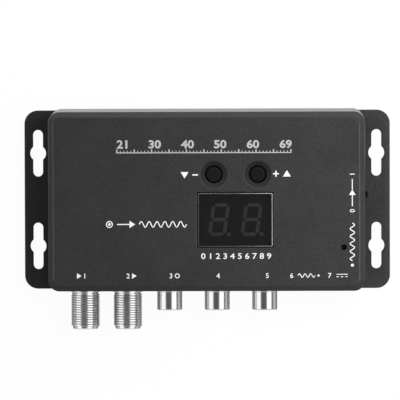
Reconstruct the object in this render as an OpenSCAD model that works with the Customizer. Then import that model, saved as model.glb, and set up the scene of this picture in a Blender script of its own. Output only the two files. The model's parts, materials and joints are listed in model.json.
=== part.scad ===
// Radio-frequency modulator: a moulded box in two parts, with a mounting ear at each end,
// aerial, phono and power sockets along its front wall, two keys and a two-digit display
// in its top. Millimetres. The origin is the centre of the underside, +X is right,
// +Y is towards the rear wall and +Z is up.

/* [Housing] */
// Width of the box, without the ears
body_w = 106.4; // [103:0.2:120]
// Depth of the box at its foot
body_d = 61; // [59:0.5:72]
// Height of the box
body_h = 26; // [25.4:0.2:32]
// Thickness of the moulded walls
wall = 2.2; // [1.8:0.1:2.6]
// Radius of the upright corners at the foot
corner_r = 4.4; // [3.4:0.1:6]
// How far each side leans in between its foot and the chamfer
side_draft = 0.8; // [0.3:0.1:1]
// Chamfer round the top face
top_chamfer = 1.75; // [0.6:0.05:2.6]
// Height of the lip that locates the cover
lip_h = 1.2; // [0.8:0.1:1.8]
// Thickness of that lip
lip_t = 1; // [0.7:0.05:1.2]

/* [Ears] */
// How far each ear stands out of the box
ear_w = 8.2; // [7.6:0.1:14]
// Thickness of the ears
ear_t = 2.5; // [2:0.1:4]
// Radius of the ears' corners
ear_r = 4.5; // [1:0.1:6]
// Width of the keyhole slots
slot_w = 3.35; // [2.6:0.05:4.2]
// Length of each slot from end to end
slot_len = 15.7; // [9:0.1:20]
// Diameter of the round entry in the middle of a slot
keyhole_d = 5.4; // [4.6:0.1:6.2]
// Distance between the two slots of one ear
slot_pitch = 31.2; // [24:0.2:36]
// Distance of the slots from the ear's outer edge
slot_edge = 4.53; // [3.6:0.01:4.6]

/* [Aerial sockets] */
// Middle of the pair of aerial sockets, from the box's centre
coax_x = -33.53; // [-34.5:0.01:-31]
// Distance between the two aerial sockets
coax_pitch = 14.14; // [12:0.02:15]
// Diameter over the thread
thread_d = 9.4; // [8.6:0.05:9.9]
// How far the barrels stand out of the front wall
coax_reach = 12.2; // [8:0.05:20]
// Length of the plain end of a barrel
coax_lead = 1.2; // [0.5:0.1:2]
// Bore of a barrel
coax_bore_d = 6.6; // [5.6:0.1:7.2]

/* [Phono sockets] */
// Middle phono socket, from the box's centre
phono_x = 3.37; // [2:0.01:4.4]
// Distance between phono sockets
phono_pitch = 15.85; // [12:0.05:16.2]
// Diameter of the metal sleeves
phono_d = 8.3; // [7.8:0.05:8.6]
// How far the sleeves stand out of the front wall
phono_reach = 5.95; // [4:0.05:10]
// Bore for the plug's pin
phono_bore_d = 3.3; // [3.1:0.05:4]

/* [Small sockets] */
// Lamp-lead jack, from the box's centre
jack_x = 31.2; // [30.6:0.1:33]
// Bore of that jack
jack_bore_d = 3.6; // [3.4:0.05:3.8]
// Power socket, from the box's centre
power_x = 42.6; // [41:0.1:43.2]
// Width over the power socket's shell
power_w = 7.7; // [7:0.05:8]
// Height over the power socket's shell
power_h = 3.9; // [3.4:0.05:4.4]

/* [Display] */
// Middle of the display, from the box's centre
display_x = 9.53; // [8:0.01:11]
// Middle of the display, from the front edge
display_from_front = 24.45; // [23.7:0.05:25.1]
// Width of the display opening
window_w = 25.2; // [23.6:0.1:26]
// Depth of the display opening
window_d = 18.4; // [16.4:0.1:18.8]
// Gap round the window in its opening
lens_gap = 0.36; // [0.1:0.02:0.5]
// Height of a digit
digit_h = 10.8; // [9:0.1:11.4]
// Width of a digit
digit_w = 6; // [5:0.1:6.6]
// Distance between the digits
digit_pitch = 10.8; // [9.6:0.1:11.4]
// Width of a lit segment
segment_w = 1.15; // [0.8:0.05:1.4]
// Lean of the digits in degrees
digit_lean = 8; // [0:1:12]

/* [Keys] */
// Middle of the pair of keys, from the box's centre
key_x = 9.75; // [8.6:0.05:10.6]
// Distance between the keys
key_pitch = 14.5; // [13:0.1:16]
// Keys, from the front edge
key_from_front = 39.5; // [39.1:0.1:40.5]
// Diameter of a key
key_d = 5; // [4:0.1:5.4]
// Diameter of the dished well round a key
well_d = 9; // [8.4:0.1:9.6]
// Depth of that dish
well_depth = 1.3; // [0.8:0.1:1.5]
// Travel of a key
key_travel = 0.3; // [0.2:0.05:0.4]

/* [Slide switch] */
// Middle of the switch, from the front edge
slide_from_front = 33.3; // [31.5:0.1:36.5]
// Travel of the knob
slide_travel = 2; // [1.5:0.1:2.4]
// Length of the knob along its travel
knob_l = 2; // [1.6:0.1:2.4]
// How far the knob stands out of the foot of the right wall
knob_out = 0.7; // [0.6:0.1:2]

/* [Signal lamp] */
// Lamp, from the box's centre
lamp_x = 45.4; // [44.6:0.1:45.6]
// Lamp, from the front edge
lamp_from_front = 15.26; // [14.9:0.02:15.5]
// Hole over the lamp
lamp_hole_d = 1.8; // [1:0.1:2.4]

/* [Boards] */
// Thickness of both circuit boards
board_t = 1.6; // [1:0.1:1.8]
// Height of the posts under the main board
standoff_h = 2.8; // [2.2:0.1:3.4]
// Height of the socket line over the main board
axis_rise = 6.4; // [6:0.1:7]

/* [Hidden] */

// Fineness of round faces when they are drawn
$fn = 48;
// Steps in each rounded corner of the mouldings
corner_steps = 6;
// How far a cut runs past the face that it opens
over = 1;
// Least radius or chamfer that a moulding keeps
least_r = 0.3;

// Colours
housing_colour = [0.2, 0.2, 0.21];
metal_colour = [0.78, 0.78, 0.8];
brass_colour = [0.8, 0.66, 0.3];
board_colour = [0.1, 0.36, 0.2];
black_colour = [0.07, 0.07, 0.08];
white_colour = [0.92, 0.92, 0.9];

// How far the ears' long edges are set in from the foot of the box
ear_set_in = 0.5;

// Planes of the box
front_y = -body_d / 2;
rear_y = body_d / 2;
inner_front = front_y + wall + side_draft;
inner_rear = rear_y - wall - side_draft;
inner_side = body_w / 2 - wall - side_draft;
cover_under = body_h - wall;

// Main board: gap to the walls, and its own planes
board_gap = 0.3;
board_z = wall + standoff_h;
board_top = board_z + board_t;
board_half_w = inner_side - board_gap;
board_half_d = (inner_rear - inner_front) / 2 - board_gap;
axis_z = board_top + axis_rise;

// Gap between the cover's and the base's locating faces
lip_gap = 0.15;

// Case screws and the posts that hold them
post_front = 22;
post_rear = 5.8;
base_post_r = 3.6;
cover_post_r = 2.9;
post_gap = 0.1;
post_inset = wall + side_draft + cover_post_r + post_gap;
post_rise = 1.5;
case_screw_r = 1.3;
case_screw_len = 14;
case_head_r = 2.6;
case_head_h = 1.7;
case_seat = 3;
case_head_gap = 0.3;
case_hole_gap = 0.25;
pilot_spare = 1;
post_x = body_w / 2 - post_inset;
post_ys = [front_y + post_front, rear_y - post_rear];
post_meet = board_top + post_rise;

// Board screws, shared by both boards, and what they bite into
board_screw_r = 0.9;
board_head_r = 1.9;
board_head_h = 1.2;
board_hole_gap = 0.2;
standoff_r = 2.4;
standoff_bite = 1;
boss_r = 2.3;
boss_bite = 4;
cross_share = 0.62;
cross_w_share = 0.2;
cross_h_share = 0.5;
// Rear screws of the main board, as shares of its half width and half depth
rear_screw_shares = [[-0.83, 0.8], [0.83, 0.8]];
// Front screws: shares of the half width, and the distance behind the lamp-lead jack
front_screw_shares = [-0.335, 0.7];
front_screw_gap = 3;

// Window behind the cover
lens_sink = 0.2;
lens_r = 0.9;
flange_over = 0.9;
flange_t = 1;

// Display block and the board that carries it
display_gap = 0.3;
display_h = 6;
display_margin_w = 2.4;
display_margin_d = 1.8;
segment_t = 0.3;
segment_gap = 0.35;
dot_d = 1.3;
dot_gap = 0.9;
display_y = front_y + display_from_front;
display_top = cover_under - flange_t - display_gap;
display_board_top = display_top - display_h;
display_board_z = display_board_top - board_t;
display_board_w = 36.8;
display_board_d = 30.6;
display_board_clear = 0.8;
display_boss_inset = 2.6;
display_block_w = digit_pitch + digit_w + 2 * display_margin_w;
display_block_d = digit_h + 2 * display_margin_d;
display_pin_w = 0.5;
display_pin_count = 5;
display_pin_pitch = 2.54;
display_pin_inset = 0.9;
display_pin_tail = 1.2;

// Keys and their push switches
key_gap = 0.4;
key_sink = 0.4;
key_chamfer = 0.35;
key_flange_over = 1;
key_flange_t = 0.9;
key_flange_gap = 0.3;
guide_t = 1;
guide_h = 1.2;
switch_w = 6;
switch_h = 3.5;
plunger_r = 1.7;
plunger_gap = 0.15;
plunger_out = 1;
plunger_in = 1.4;
plunger_stop_gap = 0.3;
switch_hole_depth = plunger_in + key_travel + plunger_stop_gap;
key_y = front_y + key_from_front;
down_x = key_x - key_pitch / 2;
up_x = key_x + key_pitch / 2;
switch_top = display_board_top + switch_h;
plunger_top = switch_top + plunger_out;
key_hole_r = key_d / 2 + key_gap;

// Legs of through-hole parts
leg_w = 0.9;
leg_gap = 0.12;
leg_tail = 1;

// Aerial sockets
coax_flange_r = 5.5;
coax_flange_t = 1.2;
coax_shank_over = 0.25;
coax_hole_gap = 0.15;
coax_block_w = 8;
coax_block_l = 8;
coax_leg_inset = 0.8;
coax_lead_step = 0.55;
coax_chamfer = 0.5;
coax_face_sink = 0.6;
contact_r = 1.1;
contact_bore_r = 0.55;
contact_sink = 0.8;
contact_leg_w = 0.6;
coax_back = wall + side_draft + coax_flange_t + coax_block_l;
contact_end = coax_reach - coax_face_sink - contact_sink;

// Phono sockets
phono_wall = 0.5;
phono_shoulder = 0.25;
phono_block_w = 10;
phono_block_l = 10.2;
phono_block_rise = 5.4;
phono_seat = 2;
phono_hole_gap = 0.15;
phono_face_sink = 0.7;
phono_rim = 0.4;
spring_t = 0.35;
spring_w = 2;
spring_l = 5;
spring_gap = 0.25;
phono_leg_w = 0.8;
strap_w = 2.2;
strap_t = 0.7;
strap_gap = 0.1;
phono_in = inner_front + phono_seat - front_y;

// Lamp-lead jack
jack_w = 6.4;
jack_l = 13;
jack_rise = 3;
jack_nose_r = 2.95;
jack_nose_sink = 0.4;
jack_hole_gap = 0.15;
jack_bore_l = 14.5;
jack_plain_l = 6;
jack_spring_gap = 0.3;
jack_spring_w = 1.6;
jack_slot_half = 0.6;
jack_back = 0.6;
jack_z = board_top + jack_rise;

// Power socket
power_l = 9.2;
power_t = 0.35;
power_gap = 0.3;
power_sink = 0.4;
power_taper_share = 0.82;
power_shoulder_share = 0.45;
tongue_t = 0.9;
tongue_w_share = 0.66;
tongue_back = 1.6;
tongue_sink = 1.2;
power_contact_count = 5;
power_contact_w = 0.3;
power_contact_t = 0.15;
power_contact_pitch_share = 0.104;
power_z = board_top + power_h / 2;

// Notch and tongue clearance where the cover fills a notch of the base
tongue_gap = 0.15;

// Slide switch
slide_w = 8.6;
slide_depth = 3.8;
slide_h = 5.2;
slide_t = 0.4;
slide_base_h = 1.7;
slide_block_l = 3.4;
slide_gap = 0.3;
knob_h = 1.8;
slide_leg_pitch = 2.5;
slide_leg_w = 0.6;
slide_y = front_y + slide_from_front;
slide_x = inner_side - board_gap - slide_depth;
knob_y = slide_y - slide_travel / 2;
knob_z = board_top + slide_base_h + (slide_h - slide_t - slide_base_h) / 2;

// Signal lamp
lamp_r = 1.5;
lamp_rim_r = 1.8;
lamp_rim_t = 0.9;
lamp_body_h = 5;
lamp_top_gap = 0.3;
lamp_collar_t = 0.9;
lamp_collar_gap = 0.3;
lamp_collar_h = 1.4;
lamp_lead_w = 0.5;
lamp_lead_pitch = 1.8;
lamp_spacer_r = 2.2;
lamp_y = front_y + lamp_from_front;
lamp_base_z = cover_under - lamp_top_gap - lamp_body_h;

// Screened radio section
can_w = 20;
can_d = 26;
can_h = 8;
can_t = 0.4;
can_lid_t = 0.3;
can_lid_rim = 2.4;
can_lid_gap = 0.1;
can_gap = 2;
can_clear = 1.4;
can_wall_share = 0.42;
core_w = 7;
core_d = 4.6;
core_h = 4;
core_hole_r = 0.8;
chip_w = 5;
chip_d = 7.6;
chip_h = 1.6;
chip_leg_pitch = 1.27;
chip_leg_w = 0.4;
chip_leg_l = 1;
chip_leg_t = 0.5;
can_x = -post_x + base_post_r + can_gap + can_w / 2;
can_front = front_y + coax_back + can_clear;

// Other parts on the main board
crystal_w = 10.6;
crystal_d = 4.4;
crystal_h = 3.4;
crystal_foot_t = 0.5;
crystal_foot_over = 0.3;
header_w = 2.5;
header_count = 8;
header_pitch = 2.54;
header_pin_w = 0.64;
header_pin_in_share = 0.72;
header_pin_gap = 0.12;
header_strip_h = 2.5;
header_gap = 0.8;
header_h = display_board_z - header_strip_h - header_gap - board_top;
header_pin_in = header_h * header_pin_in_share;
header_inset = 2.3;
header_y = inner_front + phono_block_l + display_board_clear + display_board_d - header_inset;
regulator_w = 6.6;
regulator_d = 6.2;
regulator_h = 2.3;
regulator_tab_l = 1.2;
regulator_tab_t = 0.5;
regulator_leg_w = 0.8;
regulator_leg_l = 2.4;
regulator_leg_pitch = 4.6;
inductor_w = 7;
inductor_h = 3.8;
inductor_groove_t = 0.9;
inductor_core_r = 2.3;
inductor_foot_h = 0.8;
capacitor_r = 3;
capacitor_h = 6;
capacitor_base_w = 6.6;
capacitor_base_h = 0.9;
capacitor_groove = 0.25;
capacitor_counts = [3, 2];
capacitor_pitch = 6.9;
capacitor_gap = 0.4;
micro_w = 10;
micro_h = 1.5;
micro_leg_count = 8;
micro_leg_pitch = 1;
micro_leg_w = 0.35;
part_l = 1.6;
part_w = 0.8;
part_h = 0.6;

// Places under and beside the display board, as shares of the main board's half width
// and of the display board's depth from its front edge
crystal_share = [-0.12, 0.73];
regulator_share = [0.7, 0.43];
inductor_share = [0.72, 0.7];
micro_share = [0.2, 0.5];
chip_part_shares = [
    [-0.34, 0.33], [-0.34, 0.45], [-0.34, 0.57], [-0.34, 0.69], [-0.34, 0.8],
    [-0.26, 0.33], [-0.26, 0.45], [-0.26, 0.57], [-0.26, 0.69], [-0.26, 0.8],
    [0.08, 0.09], [0.18, 0.09], [0.28, 0.09], [0.38, 0.09],
    [0.06, 0.75], [0.2, 0.75], [0.34, 0.75], [0.44, 0.55], [0.52, 0.55],
    [0.55, 0.7], [0.55, 0.8], [0.7, 1.03], [0.77, 1.03], [0.84, 1.03]
];
// Places along the rear edge, as shares of the main board's half width and half depth
capacitor_row_share = 0.78;
rear_part_shares = [
    [-0.7, 0.7], [-0.62, 0.7], [-0.54, 0.7], [-0.46, 0.7],
    [-0.7, 0.88], [-0.62, 0.88], [-0.54, 0.88], [-0.46, 0.88]
];

// Shares as places in the box: of the main board's half sizes, and from the display board's front
function on_board(share) = [share[0] * board_half_w, share[1] * board_half_d];
function under_display(share) =
    [share[0] * board_half_w, display_board_front() + share[1] * display_board_d];

// Corner by corner round a rounded rectangle of size w by d, at height z
function ring(w, d, r, z) = [
    for (q = [0 : 3], step = [0 : corner_steps])
        let (turn = 90 * (q + step / corner_steps),
             side_x = [1, -1, -1, 1][q], side_y = [1, 1, -1, -1][q])
            [side_x * (w / 2 - r) + r * cos(turn), side_y * (d / 2 - r) + r * sin(turn), z]
];

// The box's outer form drawn in by inset: foot, chamfer line and top face
function body_rings(inset) =
    let (chamfer = max(least_r, top_chamfer - inset * (2 - sqrt(2))),
         r = max(2 * least_r, corner_r - inset),
         lean = side_draft,
         waist = max(least_r, r - lean),
         rim = max(least_r / 2, waist - chamfer))
        [
            ring(body_w - 2 * inset, body_d - 2 * inset, r, inset),
            ring(body_w - 2 * (inset + lean), body_d - 2 * (inset + lean), waist,
                 body_h - inset - chamfer),
            ring(body_w - 2 * (inset + lean + chamfer), body_d - 2 * (inset + lean + chamfer),
                 rim, body_h - inset)
        ];

// Solid through a stack of rings
module loft(rings) {
    count = len(rings[0]);
    last = len(rings) - 1;
    polyhedron(
        points = [for (one = rings) each one],
        faces = concat(
            [[for (i = [0 : count - 1]) i]],
            [[for (i = [count - 1 : -1 : 0]) last * count + i]],
            [
                for (level = [0 : last - 1], i = [0 : count - 1])
                    let (next = (i + 1) % count, low = level * count, high = low + count)
                        [low + i, high + i, high + next, low + next]
            ]
        )
    );
}

// Everything between two heights
module slab(low, high) {
    translate([-body_w, -body_d, low]) cube([2 * body_w, 2 * body_d, high - low]);
}

// Block centred in X and Y on its foot
module block(w, d, h) {
    translate([-w / 2, -d / 2, 0]) cube([w, d, h]);
}

// Plate with round corners, centred on its foot
module rounded_plate(w, d, r, h) {
    linear_extrude(h) {
        square([w - 2 * r, d], center = true);
        square([w, d - 2 * r], center = true);
        for (x = [-1, 1], y = [-1, 1])
            translate([x * (w / 2 - r), y * (d / 2 - r)]) circle(r);
    }
}

// Turns a shape so that its +Z points out of the front wall
module out_of_front(x, z) {
    translate([x, front_y, z]) rotate([90, 0, 0]) children();
}

// Round hole through the front wall
module front_hole(x, z, r) {
    out_of_front(x, z)
        translate([0, 0, -wall - side_draft - over]) cylinder(r = r, h = wall + side_draft + 2 * over);
}

// Tube along Z
module tube(outer_r, inner_r, h) {
    difference() {
        cylinder(r = outer_r, h = h);
        translate([0, 0, -over]) cylinder(r = inner_r, h = h + 2 * over);
    }
}

// Screw with its head below the seat at z = 0 and its shank upwards
module screw(head_r, head_h, shank_r, length) {
    difference() {
        union() {
            translate([0, 0, -head_h]) cylinder(r = head_r, h = head_h);
            cylinder(r = shank_r, h = length);
        }
        translate([0, 0, -head_h - over]) {
            block(2 * head_r * cross_share, head_r * cross_w_share, over + head_h * cross_h_share);
            block(head_r * cross_w_share, 2 * head_r * cross_share, over + head_h * cross_h_share);
        }
    }
}

// Square legs of width w from low to high at a list of places
module legs(places, w, low, high) {
    for (place = places)
        translate([place[0], place[1], low]) block(w, w, high - low);
}

// Places of the screws, posts and legs
function post_places() = [for (x = [-post_x, post_x], y = post_ys) [x, y]];
function coax_xs() = [coax_x - coax_pitch / 2, coax_x + coax_pitch / 2];
function phono_xs() = [phono_x - phono_pitch, phono_x, phono_x + phono_pitch];
function board_screw_places() = concat(
    [for (share = rear_screw_shares) on_board(share)],
    [for (share = front_screw_shares) [share * board_half_w, inner_front + jack_l + front_screw_gap]]
);
function chip_part_places() = concat(
    [for (share = chip_part_shares) under_display(share)],
    [for (share = rear_part_shares) on_board(share)]
);
function display_board_front() = inner_front + phono_block_l + display_board_clear;
function display_boss_places() = [
    for (side = [-1, 1],
         y = [display_board_front() + display_boss_inset,
              display_board_front() + display_board_d - display_boss_inset])
        [display_x + side * (display_board_w / 2 - display_boss_inset), y]
];
function coax_leg_places(x) = [
    for (side = [-1, 1], back = [coax_leg_inset, coax_block_l - coax_leg_inset])
        [x + side * (coax_block_w / 2 - coax_leg_inset), inner_front + coax_flange_t + back]
];
function coax_contact_place(x) = [x, front_y + coax_back + contact_leg_w / 2];
function strap_place(x) = [x, inner_front + phono_seat - strap_t / 2];
function phono_contact_place(x) = [x, inner_front + phono_seat + spring_l + spring_t / 2];
function jack_leg_places() = [
    for (side = [-1, 1])
        [jack_x + side * (jack_bore_d / 2 + jack_spring_gap), inner_front + jack_l - jack_back - spring_t]
];
function slide_leg_places() = [
    for (step = [-1 : 1]) [slide_x + slide_depth / 2, slide_y + step * slide_leg_pitch]
];
function lamp_lead_places() = [
    for (side = [-1, 1]) [lamp_x, lamp_y + side * lamp_lead_pitch / 2]
];
function header_places() = [
    for (i = [0 : header_count - 1])
        [display_x + (i - (header_count - 1) / 2) * header_pitch, header_y]
];
function capacitor_places() = [
    for (k = [0, 1], i = [0 : capacitor_counts[k] - 1])
        [display_x + (2 * k - 1) * (header_count * header_pitch / 2 + capacitor_gap
                                    + capacitor_base_w / 2 + i * capacitor_pitch),
         capacitor_row_share * board_half_d]
];
function display_pin_places() = [
    for (side = [-1, 1], i = [0 : display_pin_count - 1])
        [display_x + (i - (display_pin_count - 1) / 2) * display_pin_pitch,
         display_y + side * (display_block_d / 2 - display_pin_inset)]
];

// Plate under the box that ends in the two ears
module ear_plate() {
    rounded_plate(body_w + 2 * ear_w, body_d - 2 * ear_set_in, ear_r, ear_t);
}

// Slot with a round entry in its middle
module keyhole() {
    translate([0, 0, -over])
        linear_extrude(ear_t + 2 * over) {
            square([slot_w, slot_len - slot_w], center = true);
            for (side = [-1, 1]) translate([0, side * (slot_len - slot_w) / 2]) circle(slot_w / 2);
            circle(keyhole_d / 2);
        }
}

module keyholes() {
    for (x = [-1, 1], y = [-1, 1])
        translate([x * (body_w / 2 + ear_w - slot_edge), y * slot_pitch / 2, 0]) keyhole();
}

// Openings of the front wall that both mouldings share
module socket_holes() {
    for (x = coax_xs()) front_hole(x, axis_z, thread_d / 2 + coax_shank_over + coax_hole_gap);
    for (x = phono_xs()) front_hole(x, axis_z, phono_d / 2 + phono_shoulder + phono_hole_gap);
    front_hole(jack_x, jack_z, jack_nose_r + jack_hole_gap);
    translate([power_x - power_w / 2 - power_gap, front_y - over, power_z - power_h / 2 - power_gap])
        cube([power_w + 2 * power_gap, wall + side_draft + 2 * over, power_h + 2 * power_gap]);
}

// Slot of the right wall that the knob runs in
module knob_slot() {
    half = (knob_l + slide_travel) / 2 + slide_gap;
    translate([inner_side - over, slide_y - half, knob_z - knob_h / 2 - slide_gap])
        cube([wall + side_draft + 2 * over, 2 * half, knob_h + 2 * slide_gap]);
}

// Notches of the base that let low sockets and the knob drop in from above, drawn in by gap
module wall_notches(gap, top) {
    jack_half = jack_nose_r + jack_hole_gap - gap;
    power_half = power_w / 2 + power_gap - gap;
    knob_half = (knob_l + slide_travel) / 2 + slide_gap - gap;
    translate([jack_x - jack_half, front_y - over, jack_z])
        cube([2 * jack_half, wall + side_draft + 2 * over, top - jack_z]);
    translate([power_x - power_half, front_y - over, power_z])
        cube([2 * power_half, wall + side_draft + 2 * over, top - power_z]);
    translate([inner_side - over, slide_y - knob_half, knob_z])
        cube([wall + side_draft + 2 * over, 2 * knob_half, top - knob_z]);
}

// The whole box as one wall all round
module box_wall() {
    difference() {
        loft(body_rings(0));
        loft(body_rings(wall));
    }
}

// Space within the lip at the parting line, whose outer face lies thick outside the wall's inner one
module lip_space(thick, low, high) {
    intersection() {
        loft(body_rings(wall - thick));
        slab(low, high);
    }
}

module base_shell() {
    color(housing_colour)
        difference() {
            union() {
                difference() {
                    union() {
                        ear_plate();
                        intersection() {
                            loft(body_rings(0));
                            slab(-over, axis_z);
                        }
                        lip_space(lip_t, axis_z - over, axis_z + lip_h);
                    }
                    loft(body_rings(wall));
                }
                for (place = board_screw_places())
                    translate([place[0], place[1], wall / 2])
                        cylinder(r = standoff_r, h = board_z - wall / 2);
                for (place = post_places())
                    translate([place[0], place[1], wall / 2])
                        cylinder(r = base_post_r, h = post_meet - wall / 2);
            }
            keyholes();
            socket_holes();
            wall_notches(0, axis_z + lip_h + over);
            knob_slot();
            for (place = board_screw_places())
                translate([place[0], place[1], board_z - standoff_h - standoff_bite])
                    cylinder(r = board_screw_r, h = standoff_h + standoff_bite + over);
            for (place = post_places()) translate([place[0], place[1], 0]) {
                translate([0, 0, -over]) cylinder(r = case_head_r + case_head_gap, h = case_seat + over);
                cylinder(r = case_screw_r + case_hole_gap, h = post_meet + over);
            }
        }
}

// Dish and hole that a key stands in
module key_well(x) {
    ball_r = (well_d * well_d / 4 + well_depth * well_depth) / (2 * well_depth);
    translate([x, key_y, body_h + ball_r - well_depth]) sphere(r = ball_r);
    translate([x, key_y, cover_under - guide_h - over])
        cylinder(r = key_hole_r, h = wall + guide_h + 2 * over);
}

module top_cover() {
    color(housing_colour)
        difference() {
            union() {
                difference() {
                    intersection() {
                        box_wall();
                        union() {
                            slab(axis_z, body_h + over);
                            wall_notches(tongue_gap, axis_z + over);
                        }
                    }
                    difference() {
                        lip_space(lip_t + lip_gap, axis_z - wall, axis_z + lip_h + lip_gap);
                        wall_notches(tongue_gap, axis_z + lip_h + over);
                    }
                }
                for (place = post_places())
                    translate([place[0], place[1], post_meet])
                        cylinder(r = cover_post_r, h = body_h - wall / 2 - post_meet);
                for (place = display_boss_places())
                    translate([place[0], place[1], display_board_top])
                        cylinder(r = boss_r, h = body_h - wall / 2 - display_board_top);
                for (x = [down_x, up_x])
                    translate([x, key_y, cover_under - guide_h])
                        tube(key_hole_r + guide_t, key_hole_r, guide_h + wall / 4);
                translate([lamp_x, lamp_y, cover_under - lamp_collar_h])
                    tube(lamp_r + lamp_collar_gap + lamp_collar_t, lamp_r + lamp_collar_gap,
                         lamp_collar_h + wall / 4);
            }
            socket_holes();
            knob_slot();
            for (x = [down_x, up_x]) key_well(x);
            translate([display_x, display_y, cover_under - over])
                block(window_w, window_d, wall + 2 * over);
            translate([lamp_x, lamp_y, cover_under - over])
                cylinder(r = lamp_hole_d / 2, h = wall + 2 * over);
            for (place = post_places())
                translate([place[0], place[1], post_meet - over])
                    cylinder(r = case_screw_r,
                             h = over + case_seat + case_screw_len + pilot_spare - post_meet);
            for (place = display_boss_places())
                translate([place[0], place[1], display_board_top - over])
                    cylinder(r = board_screw_r, h = over + boss_bite + pilot_spare);
        }
}

module case_screws() {
    color(metal_colour)
        for (place = post_places())
            translate([place[0], place[1], case_seat])
                screw(case_head_r, case_head_h, case_screw_r, case_screw_len);
}

module display_window() {
    flange_w = window_w + 2 * flange_over;
    flange_d = window_d + 2 * flange_over;
    color([0.13, 0.13, 0.14])
        translate([display_x, display_y, cover_under - flange_t]) {
            rounded_plate(window_w - 2 * lens_gap, window_d - 2 * lens_gap, lens_r,
                          flange_t + wall - lens_sink);
            rounded_plate(flange_w, flange_d, lens_r, flange_t);
        }
}

module main_board() {
    color(board_colour)
        difference() {
            translate([0, 0, board_z]) block(2 * board_half_w, 2 * board_half_d, board_t);
            for (place = post_places())
                translate([place[0], place[1], board_z - over])
                    cylinder(r = base_post_r + board_gap, h = board_t + 2 * over);
            for (side = [-1, 1])
                translate([side * (post_x + post_inset / 2), rear_y - post_rear / 2, board_z - over])
                    block(post_inset, post_rear, board_t + 2 * over);
            for (place = board_screw_places())
                translate([place[0], place[1], board_z - over])
                    cylinder(r = board_screw_r + board_hole_gap, h = board_t + 2 * over);
            for (x = coax_xs()) {
                board_leg_holes(coax_leg_places(x), leg_w);
                board_leg_holes([coax_contact_place(x)], contact_leg_w);
            }
            for (x = phono_xs()) {
                board_leg_holes([phono_contact_place(x)], phono_leg_w);
                board_leg_holes([strap_place(x)], strap_t);
            }
            board_leg_holes(jack_leg_places(), spring_t);
            board_leg_holes(slide_leg_places(), slide_leg_w);
            board_leg_holes(lamp_lead_places(), lamp_lead_w);
        }
}

// Square holes in the main board for legs of width w
module board_leg_holes(places, w) {
    legs(places, w + 2 * leg_gap, board_z - over, board_top + over);
}

module board_screws() {
    color(metal_colour)
        for (place = board_screw_places())
            translate([place[0], place[1], board_top])
                mirror([0, 0, 1])
                    screw(board_head_r, board_head_h, board_screw_r, board_t + standoff_h);
}

module display_board() {
    middle = display_board_front() + display_board_d / 2;
    color(board_colour)
        difference() {
            translate([display_x, middle, display_board_z])
                block(display_board_w, display_board_d, board_t);
            for (place = display_boss_places())
                translate([place[0], place[1], display_board_z - over])
                    cylinder(r = board_screw_r + board_hole_gap, h = board_t + 2 * over);
            legs(display_pin_places(), display_pin_w + 2 * leg_gap,
                 display_board_z - over, display_board_top + over);
            legs(header_places(), header_pin_w + 2 * leg_gap,
                 display_board_z - over, display_board_top + over);
        }
}

module display_board_screws() {
    color(metal_colour)
        for (place = display_boss_places())
            translate([place[0], place[1], display_board_z])
                screw(board_head_r, board_head_h, board_screw_r, board_t + boss_bite);
}

module header_socket() {
    color(black_colour)
        difference() {
            translate([display_x, header_y, board_top])
                block(header_count * header_pitch, header_w, header_h);
            legs(header_places(), header_pin_w + 2 * header_pin_gap,
                 board_top + header_h - header_pin_in - header_pin_gap, board_top + header_h + over);
        }
}

module header_pins() {
    color(brass_colour) {
        legs(header_places(), header_pin_w, board_top + header_h - header_pin_in, display_board_top);
        translate([display_x, header_y, display_board_z - header_strip_h])
            block(header_count * header_pitch, header_w, header_strip_h);
    }
}

// Fence of the screened section, with one inner wall
module rf_shield_frame() {
    middle = can_front + can_d / 2;
    color(metal_colour)
        difference() {
            translate([can_x, middle, board_top]) block(can_w, can_d, can_h);
            translate([can_x, middle, board_top - over])
                difference() {
                    block(can_w - 2 * can_t, can_d - 2 * can_t, can_h + 2 * over);
                    translate([0, (can_wall_share - 1 / 2) * can_d, 0])
                        block(can_w, can_t, can_h + 2 * over);
                }
        }
}

module rf_shield_lid() {
    outer_w = can_w + 2 * (can_lid_gap + can_lid_t);
    outer_d = can_d + 2 * (can_lid_gap + can_lid_t);
    color(metal_colour)
        translate([can_x, can_front + can_d / 2, board_top + can_h - can_lid_rim])
            difference() {
                block(outer_w, outer_d, can_lid_rim + can_lid_t);
                translate([0, 0, -over])
                    block(can_w + 2 * can_lid_gap, can_d + 2 * can_lid_gap, can_lid_rim + over);
            }
}

// Ferrite block with two through holes that splits the aerial signal
module splitter_core() {
    color([0.25, 0.25, 0.27])
        translate([can_x, can_front + can_wall_share * can_d / 2, board_top])
            difference() {
                block(core_w, core_d, core_h);
                for (side = [-1, 1])
                    translate([side * core_w / 4, -core_d / 2 - over, core_h / 2])
                        rotate([-90, 0, 0]) cylinder(r = core_hole_r, h = core_d + 2 * over);
            }
}

// Flat chip with legs along two sides, standing on the main board
module flat_chip(w, d, h, count, pitch, leg_width) {
    lift = chip_leg_t / 4;
    translate([0, 0, lift]) block(w, d, h - lift);
    for (side = [-1, 1], i = [0 : count - 1])
        translate([side * (w + chip_leg_l) / 2, (i - (count - 1) / 2) * pitch, 0])
            block(chip_leg_l, leg_width, chip_leg_t);
}

module modulator_chip() {
    color(black_colour)
        translate([can_x, can_front + (1 + can_wall_share) * can_d / 2, board_top])
            flat_chip(chip_w, chip_d, chip_h, floor(chip_d / chip_leg_pitch), chip_leg_pitch, chip_leg_w);
}

module crystal() {
    place = under_display(crystal_share);
    color(metal_colour)
        translate([place[0], place[1], board_top]) {
            rounded_plate(crystal_w + 2 * crystal_foot_over, crystal_d + 2 * crystal_foot_over,
                          crystal_d / 2, crystal_foot_t);
            rounded_plate(crystal_w, crystal_d, crystal_d / 2 - crystal_foot_over, crystal_h);
        }
}

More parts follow.
